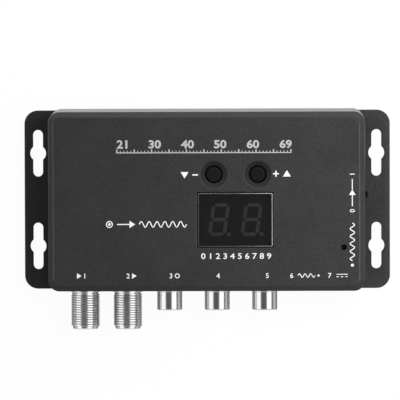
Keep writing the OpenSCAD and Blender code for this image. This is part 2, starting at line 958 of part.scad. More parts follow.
// Aerial socket: threaded barrel on a flange, with a square body and four legs behind the wall
module coax_barrel(x) {
    thread_r = thread_d / 2;
    back = -coax_back;
    flange_z = -wall - side_draft;
    color(metal_colour) {
        out_of_front(x, axis_z)
            difference() {
                union() {
                    translate([0, 0, flange_z - coax_flange_t])
                        cylinder(r = coax_flange_r, h = coax_flange_t);
                    translate([0, 0, flange_z - coax_flange_t / 2])
                        cylinder(r = thread_r + coax_shank_over, h = coax_flange_t / 2 - flange_z);
                    cylinder(r = thread_r, h = coax_reach - coax_lead);
                    translate([0, 0, coax_reach - coax_lead - over])
                        cylinder(r = thread_r - coax_lead_step, h = over + coax_lead);
                    translate([0, 0, back])
                        block(coax_block_w, coax_block_w, coax_block_l + coax_flange_t / 2);
                }
                translate([0, 0, back - over])
                    cylinder(r = coax_bore_d / 2, h = coax_back + coax_reach + 2 * over);
                translate([0, 0, coax_reach - coax_chamfer])
                    cylinder(r1 = coax_bore_d / 2, r2 = coax_bore_d / 2 + coax_chamfer, h = coax_chamfer);
            }
        legs(coax_leg_places(x), leg_w, board_z - leg_tail, axis_z - coax_block_w / 2);
    }
}

module coax_insulator(x) {
    color(white_colour)
        out_of_front(x, axis_z)
            difference() {
                translate([0, 0, -coax_back])
                    cylinder(r = coax_bore_d / 2, h = coax_back + coax_reach - coax_face_sink);
                translate([0, 0, -coax_back - over])
                    cylinder(r = contact_r, h = over + coax_back + contact_end);
                cylinder(r = contact_bore_r, h = coax_reach + over);
            }
}

module coax_contact(x) {
    place = coax_contact_place(x);
    color(brass_colour) {
        out_of_front(x, axis_z)
            difference() {
                translate([0, 0, -coax_back - contact_leg_w])
                    cylinder(r = contact_r, h = coax_back + contact_leg_w + contact_end);
                cylinder(r = contact_bore_r, h = coax_reach + over);
            }
        legs([place], contact_leg_w, board_z - leg_tail, axis_z);
    }
}

// Phono socket: black body behind the wall
module phono_housing(x) {
    middle = inner_front + phono_block_l / 2;
    strap = strap_place(x);
    color(black_colour)
        difference() {
            translate([x, middle, board_top])
                block(phono_block_w, phono_block_l, axis_rise + phono_block_rise);
            translate([x, inner_front - over, axis_z]) rotate([-90, 0, 0])
                cylinder(r = phono_d / 2 + phono_shoulder, h = over + phono_seat);
            translate([x, inner_front + phono_seat - over, axis_z]) rotate([-90, 0, 0])
                cylinder(r = phono_d / 2 - phono_wall, h = over + spring_l + spring_t + spring_gap);
            translate([strap[0], strap[1], board_top - over])
                block(strap_w + 2 * strap_gap, strap_t + 2 * strap_gap, over + axis_rise);
            translate([x, inner_front + phono_seat + spring_l + spring_t / 2, board_top - over])
                block(spring_w + 2 * spring_gap, spring_t + 2 * spring_gap, over + axis_rise);
        }
}

// Metal sleeve with the strap that earths it
module phono_sleeve(x) {
    strap = strap_place(x);
    inner_r = phono_d / 2 - phono_wall;
    color(metal_colour)
        difference() {
            union() {
                out_of_front(x, axis_z) {
                    cylinder(r = phono_d / 2, h = phono_reach);
                    translate([0, 0, -phono_in])
                        cylinder(r = phono_d / 2 + phono_shoulder, h = phono_in);
                }
                translate([strap[0], strap[1], board_top])
                    block(strap_w, strap_t, axis_rise);
                legs([strap], strap_t, board_z - leg_tail, board_top + over);
            }
            out_of_front(x, axis_z) {
                translate([0, 0, -phono_in - over])
                    cylinder(r = inner_r, h = phono_reach + phono_in + 2 * over);
                translate([0, 0, phono_reach - phono_rim / 2])
                    cylinder(r1 = inner_r, r2 = inner_r + phono_rim / 2, h = phono_rim / 2);
            }
        }
}

module phono_insert(x, tint) {
    outer_r = phono_d / 2 - phono_wall;
    color(tint)
        out_of_front(x, axis_z)
            difference() {
                translate([0, 0, -phono_in])
                    cylinder(r = outer_r, h = phono_reach - phono_face_sink + phono_in);
                translate([0, 0, -phono_in - over])
                    cylinder(r = phono_bore_d / 2, h = phono_reach + phono_in + 2 * over);
            }
}

// Two leaves that grip the plug's pin, on a back plate with a leg
module phono_contact(x) {
    start = inner_front + phono_seat;
    color(brass_colour) {
        for (side = [-1, 1])
            translate([x + side * (phono_bore_d + spring_t) / 2, start, axis_z - spring_w / 2])
                translate([-spring_t / 2, 0, 0]) cube([spring_t, spring_l, spring_w]);
        translate([x, start + spring_l + spring_t / 2, axis_z - spring_w / 2])
            block(phono_bore_d + 2 * spring_t, spring_t, spring_w);
        translate([x, start + spring_l + spring_t / 2, board_top])
            block(spring_w, spring_t, axis_rise);
        legs([phono_contact_place(x)], spring_t, board_z - leg_tail, board_top + over);
    }
}

// Small round jack for the lamp lead
module lamp_lead_jack_housing() {
    nose_l = wall + side_draft - jack_nose_sink;
    color(black_colour)
        difference() {
            union() {
                translate([jack_x, inner_front + jack_l / 2, board_top])
                    block(jack_w, jack_l, 2 * jack_rise);
                out_of_front(jack_x, jack_z)
                    translate([0, 0, -wall - side_draft - over])
                        cylinder(r = jack_nose_r, h = nose_l + over);
            }
            out_of_front(jack_x, jack_z)
                translate([0, 0, -jack_nose_sink - jack_bore_l])
                    cylinder(r = jack_bore_d / 2, h = jack_bore_l + over);
            for (place = jack_leg_places())
                translate([place[0], inner_front + jack_plain_l, board_top - over])
                    translate([-jack_slot_half, 0, 0])
                        cube([2 * jack_slot_half, jack_l - jack_plain_l - jack_back,
                              over + jack_rise + jack_spring_w]);
        }
}

module lamp_lead_jack_contacts() {
    color(brass_colour)
        for (place = jack_leg_places()) {
            translate([place[0] - spring_t / 2, inner_front + jack_plain_l, jack_z - jack_spring_w / 2])
                cube([spring_t, place[1] - inner_front - jack_plain_l + spring_t / 2, jack_spring_w]);
            legs([place], spring_t, board_z - leg_tail, jack_z);
        }
}

// Mouth of the power socket, wide at the top, drawn in by inset
module power_outline(inset) {
    half = power_w / 2 - inset;
    low_half = half * power_taper_share;
    top = power_h / 2 - inset;
    shoulder = -top * power_shoulder_share;
    polygon([
        [-half, top], [half, top], [half, shoulder], [low_half, -top], [-low_half, -top], [-half, shoulder]
    ]);
}

module power_socket_shell() {
    color(metal_colour)
        out_of_front(power_x, power_z)
            translate([0, 0, -power_sink - power_l])
                difference() {
                    linear_extrude(power_l) power_outline(0);
                    translate([0, 0, power_t]) linear_extrude(power_l) power_outline(power_t);
                }
}

module power_socket_tongue() {
    color(black_colour)
        out_of_front(power_x, power_z)
            translate([0, 0, -power_sink - power_l + power_t]) {
                linear_extrude(tongue_back) power_outline(power_t);
                translate([0, tongue_t / 2, 0])
                    block(power_w * tongue_w_share, tongue_t, power_l - power_t - tongue_sink);
            }
}

module power_socket_contacts() {
    pitch = power_w * power_contact_pitch_share;
    length = power_l - power_t - tongue_back - 2 * tongue_sink;
    color(brass_colour)
        out_of_front(power_x, power_z)
            for (i = [0 : power_contact_count - 1])
                translate([(i - (power_contact_count - 1) / 2) * pitch, -power_contact_t / 2,
                           -power_sink - power_l + power_t + tongue_back])
                    block(power_contact_w, power_contact_t, length);
}

// Corner points of one lying segment of length l, leaning with its digit, at height y of the digit
function leaning(point) = [point[0] + tan(digit_lean) * point[1], point[1]];
function lying_segment(y) =
    let (half = digit_w / 2 - segment_w / 2 - segment_gap / 2, tip = segment_w / 2)
        [
            [-half, y], [tip - half, y + tip], [half - tip, y + tip],
            [half, y], [half - tip, y - tip], [tip - half, y - tip]
        ];
function standing_segment(x, y) =
    let (half = (digit_h - segment_w) / 4 - segment_gap / 2, tip = segment_w / 2)
        [
            [x, y - half], [x + tip, y + tip - half], [x + tip, y + half - tip],
            [x, y + half], [x - tip, y + half - tip], [x - tip, y + tip - half]
        ];

// Seven segments and the dot of one digit
module digit_shape() {
    rise = (digit_h - segment_w) / 2;
    side_x = (digit_w - segment_w) / 2;
    for (y = [-rise, 0, rise])
        polygon([for (point = lying_segment(y)) leaning(point)]);
    for (x = [-side_x, side_x], y = [-rise / 2, rise / 2])
        polygon([for (point = standing_segment(x, y)) leaning(point)]);
    translate([digit_w / 2 + dot_gap - tan(digit_lean) * rise, -rise]) circle(dot_d / 2);
}

module both_digits(thick) {
    for (side = [-1, 1])
        translate([display_x + side * digit_pitch / 2, display_y, display_top - segment_t])
            linear_extrude(thick) digit_shape();
}

module display_housing() {
    color(black_colour)
        difference() {
            translate([display_x, display_y, display_board_top])
                block(display_block_w, display_block_d, display_h);
            both_digits(segment_t + over);
        }
}

module display_segments() {
    color([0.3, 0.3, 0.3]) both_digits(segment_t);
}

module display_pins() {
    color(metal_colour)
        legs(display_pin_places(), display_pin_w, display_board_z - display_pin_tail, display_board_top);
}

// Key: stem in the cover's guide, with a flange under it
module key(x) {
    color(black_colour)
        translate([x, key_y, 0])
            rotate_extrude()
                polygon([
                    [0, plunger_top],
                    [key_d / 2, plunger_top],
                    [key_d / 2, cover_under - guide_h - key_flange_gap - key_flange_t],
                    [key_hole_r + key_flange_over, cover_under - guide_h - key_flange_gap - key_flange_t],
                    [key_hole_r + key_flange_over, cover_under - guide_h - key_flange_gap],
                    [key_d / 2, cover_under - guide_h - key_flange_gap],
                    [key_d / 2, body_h - key_sink - key_chamfer],
                    [key_d / 2 - key_chamfer, body_h - key_sink],
                    [0, body_h - key_sink]
                ]);
}

module plunger(x) {
    color([0.2, 0.2, 0.22])
        translate([x, key_y, switch_top - plunger_in])
            cylinder(r = plunger_r, h = plunger_in + plunger_out);
}

module push_switch(x) {
    color([0.3, 0.3, 0.32])
        translate([x, key_y, display_board_top])
            difference() {
                block(switch_w, switch_w, switch_h);
                translate([0, 0, switch_h - switch_hole_depth])
                    cylinder(r = plunger_r + plunger_gap, h = switch_hole_depth + over);
            }
}

// Metal cover of the slide switch, open below, with a window towards the wall
module slide_switch_frame() {
    half = (knob_l + slide_travel) / 2 + slide_gap;
    color(metal_colour)
        translate([slide_x, slide_y, board_top])
            difference() {
                translate([0, -slide_w / 2, 0]) cube([slide_depth, slide_w, slide_h]);
                translate([slide_t, slide_t - slide_w / 2, -over])
                    cube([slide_depth - 2 * slide_t, slide_w - 2 * slide_t, slide_h - slide_t + over]);
                translate([slide_depth - slide_t - over, -half, knob_z - board_top - knob_h / 2 - slide_gap])
                    cube([slide_t + 2 * over, 2 * half, knob_h + 2 * slide_gap]);
            }
}

module slide_switch_base() {
    color(black_colour) {
        translate([slide_x + slide_t, slide_y - slide_w / 2 + slide_t, board_top])
            cube([slide_depth - 2 * slide_t, slide_w - 2 * slide_t, slide_base_h]);
        legs(slide_leg_places(), slide_leg_w, board_z - leg_tail, board_top + slide_base_h / 2);
    }
}

module slide_switch_knob() {
    block_h = slide_h - slide_t - slide_base_h - 2 * slide_gap;
    block_d = slide_depth - 2 * slide_t - 2 * slide_gap;
    start = slide_x + slide_t + slide_gap;
    color(black_colour) {
        translate([start, knob_y - slide_block_l / 2, knob_z - block_h / 2])
            cube([block_d, slide_block_l, block_h]);
        translate([start, knob_y - knob_l / 2, knob_z - knob_h / 2])
            cube([body_w / 2 + knob_out - start, knob_l, knob_h]);
    }
}

module signal_lamp() {
    color([0.85, 0.85, 0.8])
        translate([lamp_x, lamp_y, lamp_base_z]) {
            cylinder(r = lamp_rim_r, h = lamp_rim_t);
            cylinder(r = lamp_r, h = lamp_body_h - lamp_r);
            translate([0, 0, lamp_body_h - lamp_r])
                intersection() {
                    sphere(r = lamp_r);
                    cylinder(r = 2 * lamp_r, h = 2 * lamp_r);
                }
        }
}

module signal_lamp_leads() {
    color(metal_colour)
        legs(lamp_lead_places(), lamp_lead_w, board_z - leg_tail, lamp_base_z);
}

module lamp_spacer() {
    color(black_colour)
        difference() {
            translate([lamp_x, lamp_y, board_top]) cylinder(r = lamp_spacer_r, h = lamp_base_z - board_top);
            legs(lamp_lead_places(), lamp_lead_w + 2 * leg_gap, board_top - over, lamp_base_z + over);
        }
}

module regulator() {
    place = under_display(regulator_share);
    color(black_colour)
        translate([place[0], place[1], board_top]) {
            block(regulator_w, regulator_d, regulator_h);
            translate([0, (regulator_d + regulator_tab_l) / 2, 0])
                block(regulator_w, regulator_tab_l, regulator_tab_t);
            for (side = [-1, 1])
                translate([side * regulator_leg_pitch / 2, -(regulator_d + regulator_leg_l) / 2, 0])
                    block(regulator_leg_w, regulator_leg_l, regulator_tab_t);
        }
}

// Screened coil: drum between two feet
module power_inductor() {
    place = under_display(inductor_share);
    color([0.3, 0.3, 0.32])
        translate([place[0], place[1], board_top])
            difference() {
                block(inductor_w, inductor_w, inductor_h);
                translate([0, 0, inductor_foot_h])
                    tube(inductor_core_r + inductor_groove_t, inductor_core_r, inductor_h);
            }
}

module filter_capacitors() {
    color([0.75, 0.76, 0.78])
        for (place = capacitor_places())
            translate([place[0], place[1], board_top]) {
                block(capacitor_base_w, capacitor_base_w, capacitor_base_h);
                rotate_extrude()
                    polygon([
                        [0, 0], [capacitor_r, 0], [capacitor_r, 2 * capacitor_base_h],
                        [capacitor_r - capacitor_groove, 2 * capacitor_base_h + capacitor_groove],
                        [capacitor_r, 2 * capacitor_base_h + 2 * capacitor_groove],
                        [capacitor_r, capacitor_h - capacitor_groove],
                        [capacitor_r - capacitor_groove, capacitor_h], [0, capacitor_h]
                    ]);
            }
}

module microcontroller() {
    place = under_display(micro_share);
    color(black_colour)
        translate([place[0], place[1], board_top]) {
            for (turn = [0, 90])
                rotate([0, 0, turn])
                    flat_chip(micro_w, micro_w, micro_h, micro_leg_count, micro_leg_pitch, micro_leg_w);
        }
}

module chip_parts() {
    color([0.5, 0.44, 0.36])
        for (place = chip_part_places())
            translate([place[0], place[1], board_top]) block(part_l, part_w, part_h);
}

base_shell();
top_cover();
case_screws();
display_window();
main_board();
board_screws();
display_board();
display_board_screws();
header_socket();
header_pins();
rf_shield_frame();
rf_shield_lid();
splitter_core();
modulator_chip();
crystal();
coax_barrel(coax_xs()[0]);  // rf_in_barrel
coax_insulator(coax_xs()[0]);  // rf_in_insulator
coax_contact(coax_xs()[0]);  // rf_in_contact
coax_barrel(coax_xs()[1]);  // rf_out_barrel
coax_insulator(coax_xs()[1]);  // rf_out_insulator
coax_contact(coax_xs()[1]);  // rf_out_contact
phono_housing(phono_xs()[0]);  // video_jack_housing
phono_sleeve(phono_xs()[0]);  // video_jack_sleeve
phono_insert(phono_xs()[0], [0.9, 0.78, 0.1]);  // video_jack_insert
phono_contact(phono_xs()[0]);  // video_jack_contact
phono_housing(phono_xs()[1]);  // left_jack_housing
phono_sleeve(phono_xs()[1]);  // left_jack_sleeve
phono_insert(phono_xs()[1], white_colour);  // left_jack_insert
phono_contact(phono_xs()[1]);  // left_jack_contact
phono_housing(phono_xs()[2]);  // right_jack_housing
phono_sleeve(phono_xs()[2]);  // right_jack_sleeve
phono_insert(phono_xs()[2], [0.75, 0.1, 0.1]);  // right_jack_insert
phono_contact(phono_xs()[2]);  // right_jack_contact
lamp_lead_jack_housing();
lamp_lead_jack_contacts();
power_socket_shell();
power_socket_tongue();
power_socket_contacts();
display_housing();
display_segments();
display_pins();
key(down_x);  // channel_down_key
plunger(down_x);  // channel_down_plunger
push_switch(down_x);  // channel_down_switch
key(up_x);  // channel_up_key
plunger(up_x);  // channel_up_plunger
push_switch(up_x);  // channel_up_switch
slide_switch_frame();
slide_switch_base();
slide_switch_knob();
signal_lamp();
signal_lamp_leads();
lamp_spacer();
regulator();
power_inductor();
filter_capacitors();
microcontroller();
chip_parts();
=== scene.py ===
import json
from math import asin, cos, pi, radians, sin, sqrt, tan

import bmesh
import bpy
from mathutils import Matrix, Vector


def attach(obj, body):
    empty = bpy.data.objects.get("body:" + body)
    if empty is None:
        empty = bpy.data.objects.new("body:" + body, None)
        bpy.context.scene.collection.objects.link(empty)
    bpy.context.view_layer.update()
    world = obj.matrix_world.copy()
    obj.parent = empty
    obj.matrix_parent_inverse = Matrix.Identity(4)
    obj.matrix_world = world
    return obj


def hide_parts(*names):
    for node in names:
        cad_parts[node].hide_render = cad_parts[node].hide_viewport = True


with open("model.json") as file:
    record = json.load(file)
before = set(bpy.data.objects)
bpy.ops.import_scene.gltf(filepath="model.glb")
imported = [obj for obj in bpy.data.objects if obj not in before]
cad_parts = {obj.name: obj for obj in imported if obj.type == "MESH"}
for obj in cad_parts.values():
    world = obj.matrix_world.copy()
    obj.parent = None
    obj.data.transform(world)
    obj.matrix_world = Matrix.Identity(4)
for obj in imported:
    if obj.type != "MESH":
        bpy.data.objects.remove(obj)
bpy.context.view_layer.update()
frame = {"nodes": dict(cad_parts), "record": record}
scene = bpy.context.scene

# The eye. A long lens looks down on the box as it lies flat, from 1.3 m up, a little to the right of its
# middle and a little towards its rear wall. The sizes below are in millimetres.
mm = 0.001
aim = Vector((-2.42, -0.24, 2.5)) * mm
eye_distance = 1345 * mm
eye_lean_right, eye_lean_rear = radians(0.73), radians(1.98)
picture_turn = radians(-0.17)


def linked(name, data):
    """Object of the scene that shows the data"""
    made = bpy.data.objects.new(name, data)
    scene.collection.objects.link(made)
    return made


eye = bpy.data.cameras.new("eye")
eye.lens, eye.sensor_width = 360, 36
eye.clip_start, eye.clip_end = 0.05, 50
backwards = Vector((tan(eye_lean_right), tan(eye_lean_rear), 1)).normalized()
rightwards = (Matrix.Rotation(picture_turn, 3, "Z") @ Vector((0, 1, 0))).cross(backwards).normalized()
upwards = backwards.cross(rightwards)
scene.camera = linked("eye", eye)
scene.camera.matrix_world = (
    Matrix.Translation(aim + backwards * eye_distance)
    @ Matrix((rightwards, upwards, backwards)).transposed().to_4x4()
)
scene.view_settings.view_transform = "Standard"

# Floor and light. A pale table top, a white room that is darker straight overhead, where the eye looks
# down from, and brighter at the rear, with one soft box over the right side and one over the rear.
room_level, room_turn = 0.24, radians(8.6)
room_greys = [
    (0.0, 0.25), (0.07, 0.12), (0.22, 0.12), (0.35, 1.0), (0.84, 1.0), (0.91, 0.12), (1.0, 0.08),
]
side_level, side_lean = 1.14, 0.1
end_level, end_lean, end_from, end_full = 0.97, 0.66, 0.15, 0.6
soft_level, soft_up, soft_rear, soft_right = 0.72, 0.5, 0.2, 0.12
floor_half, floor_drop = 2.5, 0.05 * mm
floor_grey, floor_glow = 0.9, 0.96
rear_glow, near_glow, far_glow = 1.08, 0.12, 0.4
soft_boxes = {
    "right_light": ((0.11, 0.04, 0.3), (0.16, 0.16), 1.05),
    "rear_light": ((-0.1, 0.7, 0.62), (0.9, 0.4), 1.6),
}


class Wire:
    """A node's output as a value: an operator on it adds the Math node."""

    def __init__(self, graph, node, output=0):
        self.graph, self.node = graph, node
        self.socket = node.outputs[output] if len(node.outputs) else None

    def maths(self, operation, *values):
        return self.graph.add("ShaderNodeMath", dict(enumerate(values)), operation=operation)

    def __add__(self, other):
        return self.maths("ADD", self, other)

    def __sub__(self, other):
        return self.maths("SUBTRACT", self, other)

    def __rsub__(self, other):
        return self.maths("SUBTRACT", other, self)

    def __mul__(self, other):
        return self.maths("MULTIPLY", self, other)

    def __truediv__(self, other):
        return self.maths("DIVIDE", self, other)

    def __lt__(self, other):
        return self.maths("LESS_THAN", self, other)

    def over(self, low, high):
        """0 at low and below, 1 at high and above"""
        return self.graph.add("ShaderNodeMapRange", {0: self, 1: low, 2: high})

    __radd__, __rmul__ = __add__, __mul__


class Graph:
    """A tree of nodes: a finish, the room or a shape that follows a rule."""

    def __init__(self, tree):
        self.tree = tree
        tree.nodes.clear()

    def add(self, kind, sockets=None, output=0, **settings):
        node = self.tree.nodes.new(kind)
        for name, value in settings.items():
            if name == "stops":
                while len(node.color_ramp.elements) < len(value):
                    node.color_ramp.elements.new(1)
                for element, (place, grey) in zip(node.color_ramp.elements, value):
                    element.position, element.color = place, (grey, grey, grey, 1)
            else:
                setattr(node, name, value)
        for key, value in (sockets or {}).items():
            if isinstance(value, Wire):
                self.tree.links.new(value.socket, node.inputs[key])
            else:
                node.inputs[key].default_value = value
        return Wire(self, node, output)

    def axes(self, vector):
        """The three numbers of a vector"""
        node = self.add("ShaderNodeSeparateXYZ", {0: vector}).node
        return [Wire(self, node, axis) for axis in range(3)]

    def vector(self, *numbers):
        return self.add("ShaderNodeCombineXYZ", dict(enumerate(numbers)))

    def rays(self):
        """1 for the eye, 1 for mirrors and glass, and the length of the way"""
        path = self.add("ShaderNodeLightPath").node
        eye_ray, mirror, glass, way = (Wire(self, path, name) for name in (
            "Is Camera Ray", "Is Glossy Ray", "Is Transmission Ray", "Ray Length"))
        return eye_ray, mirror + glass, way


room = bpy.data.worlds.new("room")
room.use_nodes = True
scene.world = room
sky = Graph(room.node_tree)
eye_ray, mirror_ray, _ = sky.rays()
across, rearwards, height = sky.axes(sky.add("ShaderNodeTexCoord"))
turned_height = height * cos(room_turn) - across * sin(room_turn)
lengthwise = rearwards.maths("ABSOLUTE", rearwards).over(end_from, end_full)
sideways = sky.add("ShaderNodeValToRGB", {0: turned_height}, stops=room_greys) * (
    side_level + across * side_lean)
mirrored = sideways * (1 - lengthwise) + lengthwise * (end_level + rearwards * end_lean)
soft = room_level * (soft_level + height * soft_up + rearwards * soft_rear + across * soft_right)
level = eye_ray + (1 - eye_ray) * (mirror_ray * mirrored + (1 - mirror_ray) * soft)
backdrop = sky.add("ShaderNodeBackground", {"Color": (1, 1, 1, 1), "Strength": level})
sky.add("ShaderNodeOutputWorld", {"Surface": backdrop})

floor_mesh = bpy.data.meshes.new("floor")
floor_mesh.from_pydata([
    (x * floor_half, y * floor_half, -floor_drop) for x, y in ((-1, -1), (1, -1), (1, 1), (-1, 1))
], [], [(0, 1, 2, 3)])
floor = linked("floor", floor_mesh)
table_top = bpy.data.materials.new("table_top")
table_top.use_nodes = True
top = Graph(table_top.node_tree)
eye_ray, mirror_ray, way = top.rays()
place = top.add("ShaderNodeTexCoord", output="Object")
# In mirrors the floor carries a painted shadow near the box, dim where the reflected ray is short, and
# glows brighter behind the box
behind = top.axes(place)[1].over(0, 30 * mm)
mirror_glow = behind * rear_glow + (1 - behind) * (near_glow + way.over(12 * mm, 50 * mm) * far_glow)
matt = top.add("ShaderNodeBsdfDiffuse", {"Color": (floor_grey, floor_grey, floor_grey, 1)})
glow = top.add("ShaderNodeEmission", {
    "Color": (1, 1, 1, 1), "Strength": eye_ray + mirror_ray * mirror_glow})
lit = top.add("ShaderNodeMixShader", {0: (eye_ray + mirror_ray) * floor_glow, 1: matt, 2: glow})
from_below = top.add("ShaderNodeNewGeometry", output="Backfacing")
clear = top.add("ShaderNodeBsdfTransparent", {"Color": (1, 1, 1, 1)})
seen = top.add("ShaderNodeMixShader", {0: from_below, 1: lit, 2: clear})
top.add("ShaderNodeOutputMaterial", {"Surface": seen})
floor_mesh.materials.append(table_top)

for name, (place, size, power) in soft_boxes.items():
    light = bpy.data.lights.new(name, "AREA")
    light.shape, light.size, light.size_y, light.energy = "RECTANGLE", *size, power
    lamp = linked(name, light)
    lamp.location = place
    lamp.rotation_euler = (-Vector(place)).to_track_quat("-Z", "Y").to_euler()
    lamp.visible_glossy = lamp.visible_camera = False

# Base moulding. A tub of dark plastic moulded in one piece with the mounting ears, each with a slot that
# a round entry widens in its middle. A lip round its rim enters the cover, and four posts take the screws.
body_w, body_d, body_h = 106.4, 61, 26
wall, corner_r, draft, chamfer = 2.2, 4.4, 0.8, 1.75
draft_top = body_h - chamfer
parting, parting_ease, foot_ease = 13, 0.16, 0.3
lip_h, lip_t, lip_play = 1.2, 1.0, 0.15
ear_w, ear_d, ear_t, ear_r, ear_ease, ear_foot_ease = 122.8, 60, 2.5, 4.5, 0.3, 0.25
slot_half, slot_end, entry_r, hole_ease = 1.675, 6.175, 2.7, 0.22
slot_places = [(x, y) for x in (-56.87, 56.87) for y in (-15.6, 15.6)]
post_places = [(x, y) for x in (-47.2, 47.2) for y in (-8.5, 24.7)]
post_r, post_top = 3.6, 8.1
head_well_r, head_well_h, head_well_ease, shank_hole_r, shank_hole_top = 2.9, 3, 1.2, 1.55, 9
front_y = -body_d / 2
coax_xs, phono_xs = (-40.6, -26.46), (-12.48, 3.37, 19.22)
coax_hole_r, phono_hole_r = 5.1, 4.55
jack_x, jack_z, jack_hole_r = 31.2, 9.6, 3.1
power_x, power_z, power_hole_half_w, power_hole_half_h = 42.6, 8.55, 4.15, 2.25
knob_y, knob_z, knob_slot_half_l, knob_slot_half_h = 2.8, 9.85, 2.3, 1.2
notch_reach, notch_top, knob_notch_from, knob_notch_to, overrun = 4, 16, 49, 54, 1


def paint(tone, times=1.0):
    """Colour from a plain grey, or a red, green and blue, of 0 to 255"""
    whole = tone if isinstance(tone, tuple) else (tone,) * 3
    return tuple(
        times * (c / 255 / 12.92 if c < 11 else ((c / 255 + 0.055) / 1.055) ** 2.4) for c in whole
    ) + (1,)


class Finish(Graph):
    """A finish with one shader, whose plain numbers are set on its own sockets."""

    def __init__(self, name, **plain):
        self.material = bpy.data.materials.new(name)
        self.material.use_nodes = True
        super().__init__(self.material.node_tree)
        values = {key.replace("_", " "): value for key, value in plain.items()}
        shader = self.add("ShaderNodeBsdfPrincipled", values)
        self.add("ShaderNodeOutputMaterial", {"Surface": shader})
        self.shader = shader.node
        self.place = self.add("ShaderNodeTexCoord", output="Object")

    def drive(self, **wires):
        for name, wire in wires.items():
            self.tree.links.new(wire.socket, self.shader.inputs[name.replace("_", " ")])

    def noise(self, size, detail=2.0, stretch=None):
        place = self.place
        if stretch:
            place = self.add("ShaderNodeVectorMath", {0: place, 1: stretch}, operation="MULTIPLY")
        return self.add("ShaderNodeTexNoise", {
            "Vector": place, "Scale": 1 / (size * mm), "Detail": detail})

    def tint(self, factor, low, high):
        return self.add("ShaderNodeMix", {0: factor, 6: low, 7: high}, 2, data_type="RGBA")

    def bump(self, height, depth):
        self.drive(Normal=self.add("ShaderNodeBump", {
            "Strength": 1, "Distance": depth * mm, "Height": height}))


def moulded(name, tone, roughness=0.5, grain=0.3, depth=0.004, shade=0.12, edge_wear_and_highlight=0.3,
            wall_gloss=0.0, speck=0.0, painted_light_drift=0.0, **plain):
    """Moulded plastic: a fine eroded grain, slow clouding of tone and gloss, paler edges at the sides that
    are partly wear and partly a painted highlight, a gloss on upright walls, specks, and painted light that
    makes the tone lighter to the right"""
    made = Finish(name, **plain)
    fine, broad = made.noise(grain), made.noise(11, 3)
    mottle = (made.noise(0.45, 1) - 0.5) * speck
    # Painted light: a left-to-right factor that makes the tone darker at the left and lighter at the right,
    # as the light falls
    painted_light_rightward = made.axes(made.place)[0].over(-60 * mm, 60 * mm)
    low, high = (
        made.tint(painted_light_rightward, paint(tone, k * (1 - painted_light_drift)), paint(tone, k * (1 + painted_light_drift)))
        for k in (1 - shade, 1 + shade)
    )
    base = made.tint((fine * 0.5 + broad * 0.5 + mottle).over(0.3, 0.7), low, high)
    sideways, _, facing = made.axes(made.add("ShaderNodeNewGeometry", output="Normal"))
    eased_edge = made.add("ShaderNodeAttribute", output="Fac", attribute_name="eased_edge")
    # Painted highlight, partly wear: eased edges that face sideways and up are painted up to four times
    # paler and made glossier
    rubbed_and_lit = (broad.over(0.2, 0.6) * 0.5 + 0.5) * facing.over(0.1, 0.85)
    edge = eased_edge * rubbed_and_lit * sideways.maths("ABSOLUTE", sideways).over(0.05, 0.25) * edge_wear_and_highlight
    upright_face = 1 - facing.maths("ABSOLUTE", facing).over(0.1, 0.4)
    clouding = fine * 0.06 + broad * 0.08
    made.drive(
        Base_Color=made.tint(edge, base, paint(tone, 4)),
        Roughness=roughness - 0.06 + clouding - upright_face * wall_gloss - edge * 0.4,
    )
    made.bump(fine * 0.7 + made.noise(grain / 3) * 0.3, depth)
    return made.material


def eased(path, steps=3):
    """A path of (a, b) or (a, b, ease) with each corner that names an ease rounded off"""
    done = []
    for i, (a, b, *ease) in enumerate(path):
        if not ease:
            done.append((a, b))
            continue
        corner = Vector((a, b))
        ends = []
        for other in (path[i - 1], path[(i + 1) % len(path)]):
            way = Vector(other[:2]) - corner
            ends.append(corner + way.normalized() * min(ease[0], way.length * 0.49))
        for k in range(steps + 1):
            t = k / steps
            done.append(tuple(ends[0] * (1 - t) ** 2 + corner * 2 * t * (1 - t) + ends[1] * t * t))
    return done


def rounded(w, d, r, z, steps=9):
    """Ring of points round a rectangle with round corners"""
    return [
        (sx * (w / 2 - r) + r * cos(radians(90 * (q + k / steps))),
         sy * (d / 2 - r) + r * sin(radians(90 * (q + k / steps))), z)
        for q, (sx, sy) in enumerate(((1, 1), (-1, 1), (-1, -1), (1, -1))) for k in range(steps + 1)
    ]


def wall_ring(inset, z):
    """Ring at a height of the drafted wall, drawn in by inset"""
    lean = inset + draft * min(max(z, 0), draft_top) / draft_top
    return rounded(body_w - 2 * lean, body_d - 2 * lean, max(0.6, corner_r - lean), z)


def mesh_piece(name, points, faces):
    """A mesh object from points in millimetres, merged, with its faces outwards"""
    mesh = bpy.data.meshes.new(name)
    mesh.from_pydata([Vector(point) * mm for point in points], [], faces)
    work = bmesh.new()
    work.from_mesh(mesh)
    bmesh.ops.remove_doubles(work, verts=work.verts, dist=1e-7)
    bmesh.ops.dissolve_degenerate(work, edges=work.edges, dist=1e-7)
    bmesh.ops.recalc_face_normals(work, faces=work.faces)
    work.to_mesh(mesh)
    work.free()
    return linked(name, mesh)


def skin(name, rings, closed=False, place=Matrix()):
    """A form through a stack of rings, capped at both ends, or closed onto its first ring"""
    count, levels = len(rings[0]), len(rings)
    faces = [
        (low * count + i, low * count + (i + 1) % count, high * count + (i + 1) % count, high * count + i)
        for low, high in ((k, (k + 1) % levels) for k in range(levels if closed else levels - 1))
        for i in range(count)
    ]
    if not closed:
        faces += [tuple(range(count)), tuple(range((levels - 1) * count, levels * count))]
    return mesh_piece(name, [place @ Vector(point) for ring in rings for point in ring], faces)


def circle(r, steps, x=0, y=0):
    """Points round a circle"""
    return [(x + r * cos(2 * pi * i / steps), y + r * sin(2 * pi * i / steps)) for i in range(steps)]


def turned(name, profile, place=Matrix(), steps=56):
    """A form turned from (radius, height); one that doesn't start on its axis is a ring"""
    rings = [[(*point, h) for point in circle(r, steps)] for r, h in eased(profile)]
    return skin(name, rings, profile[0][0] > 0, place)


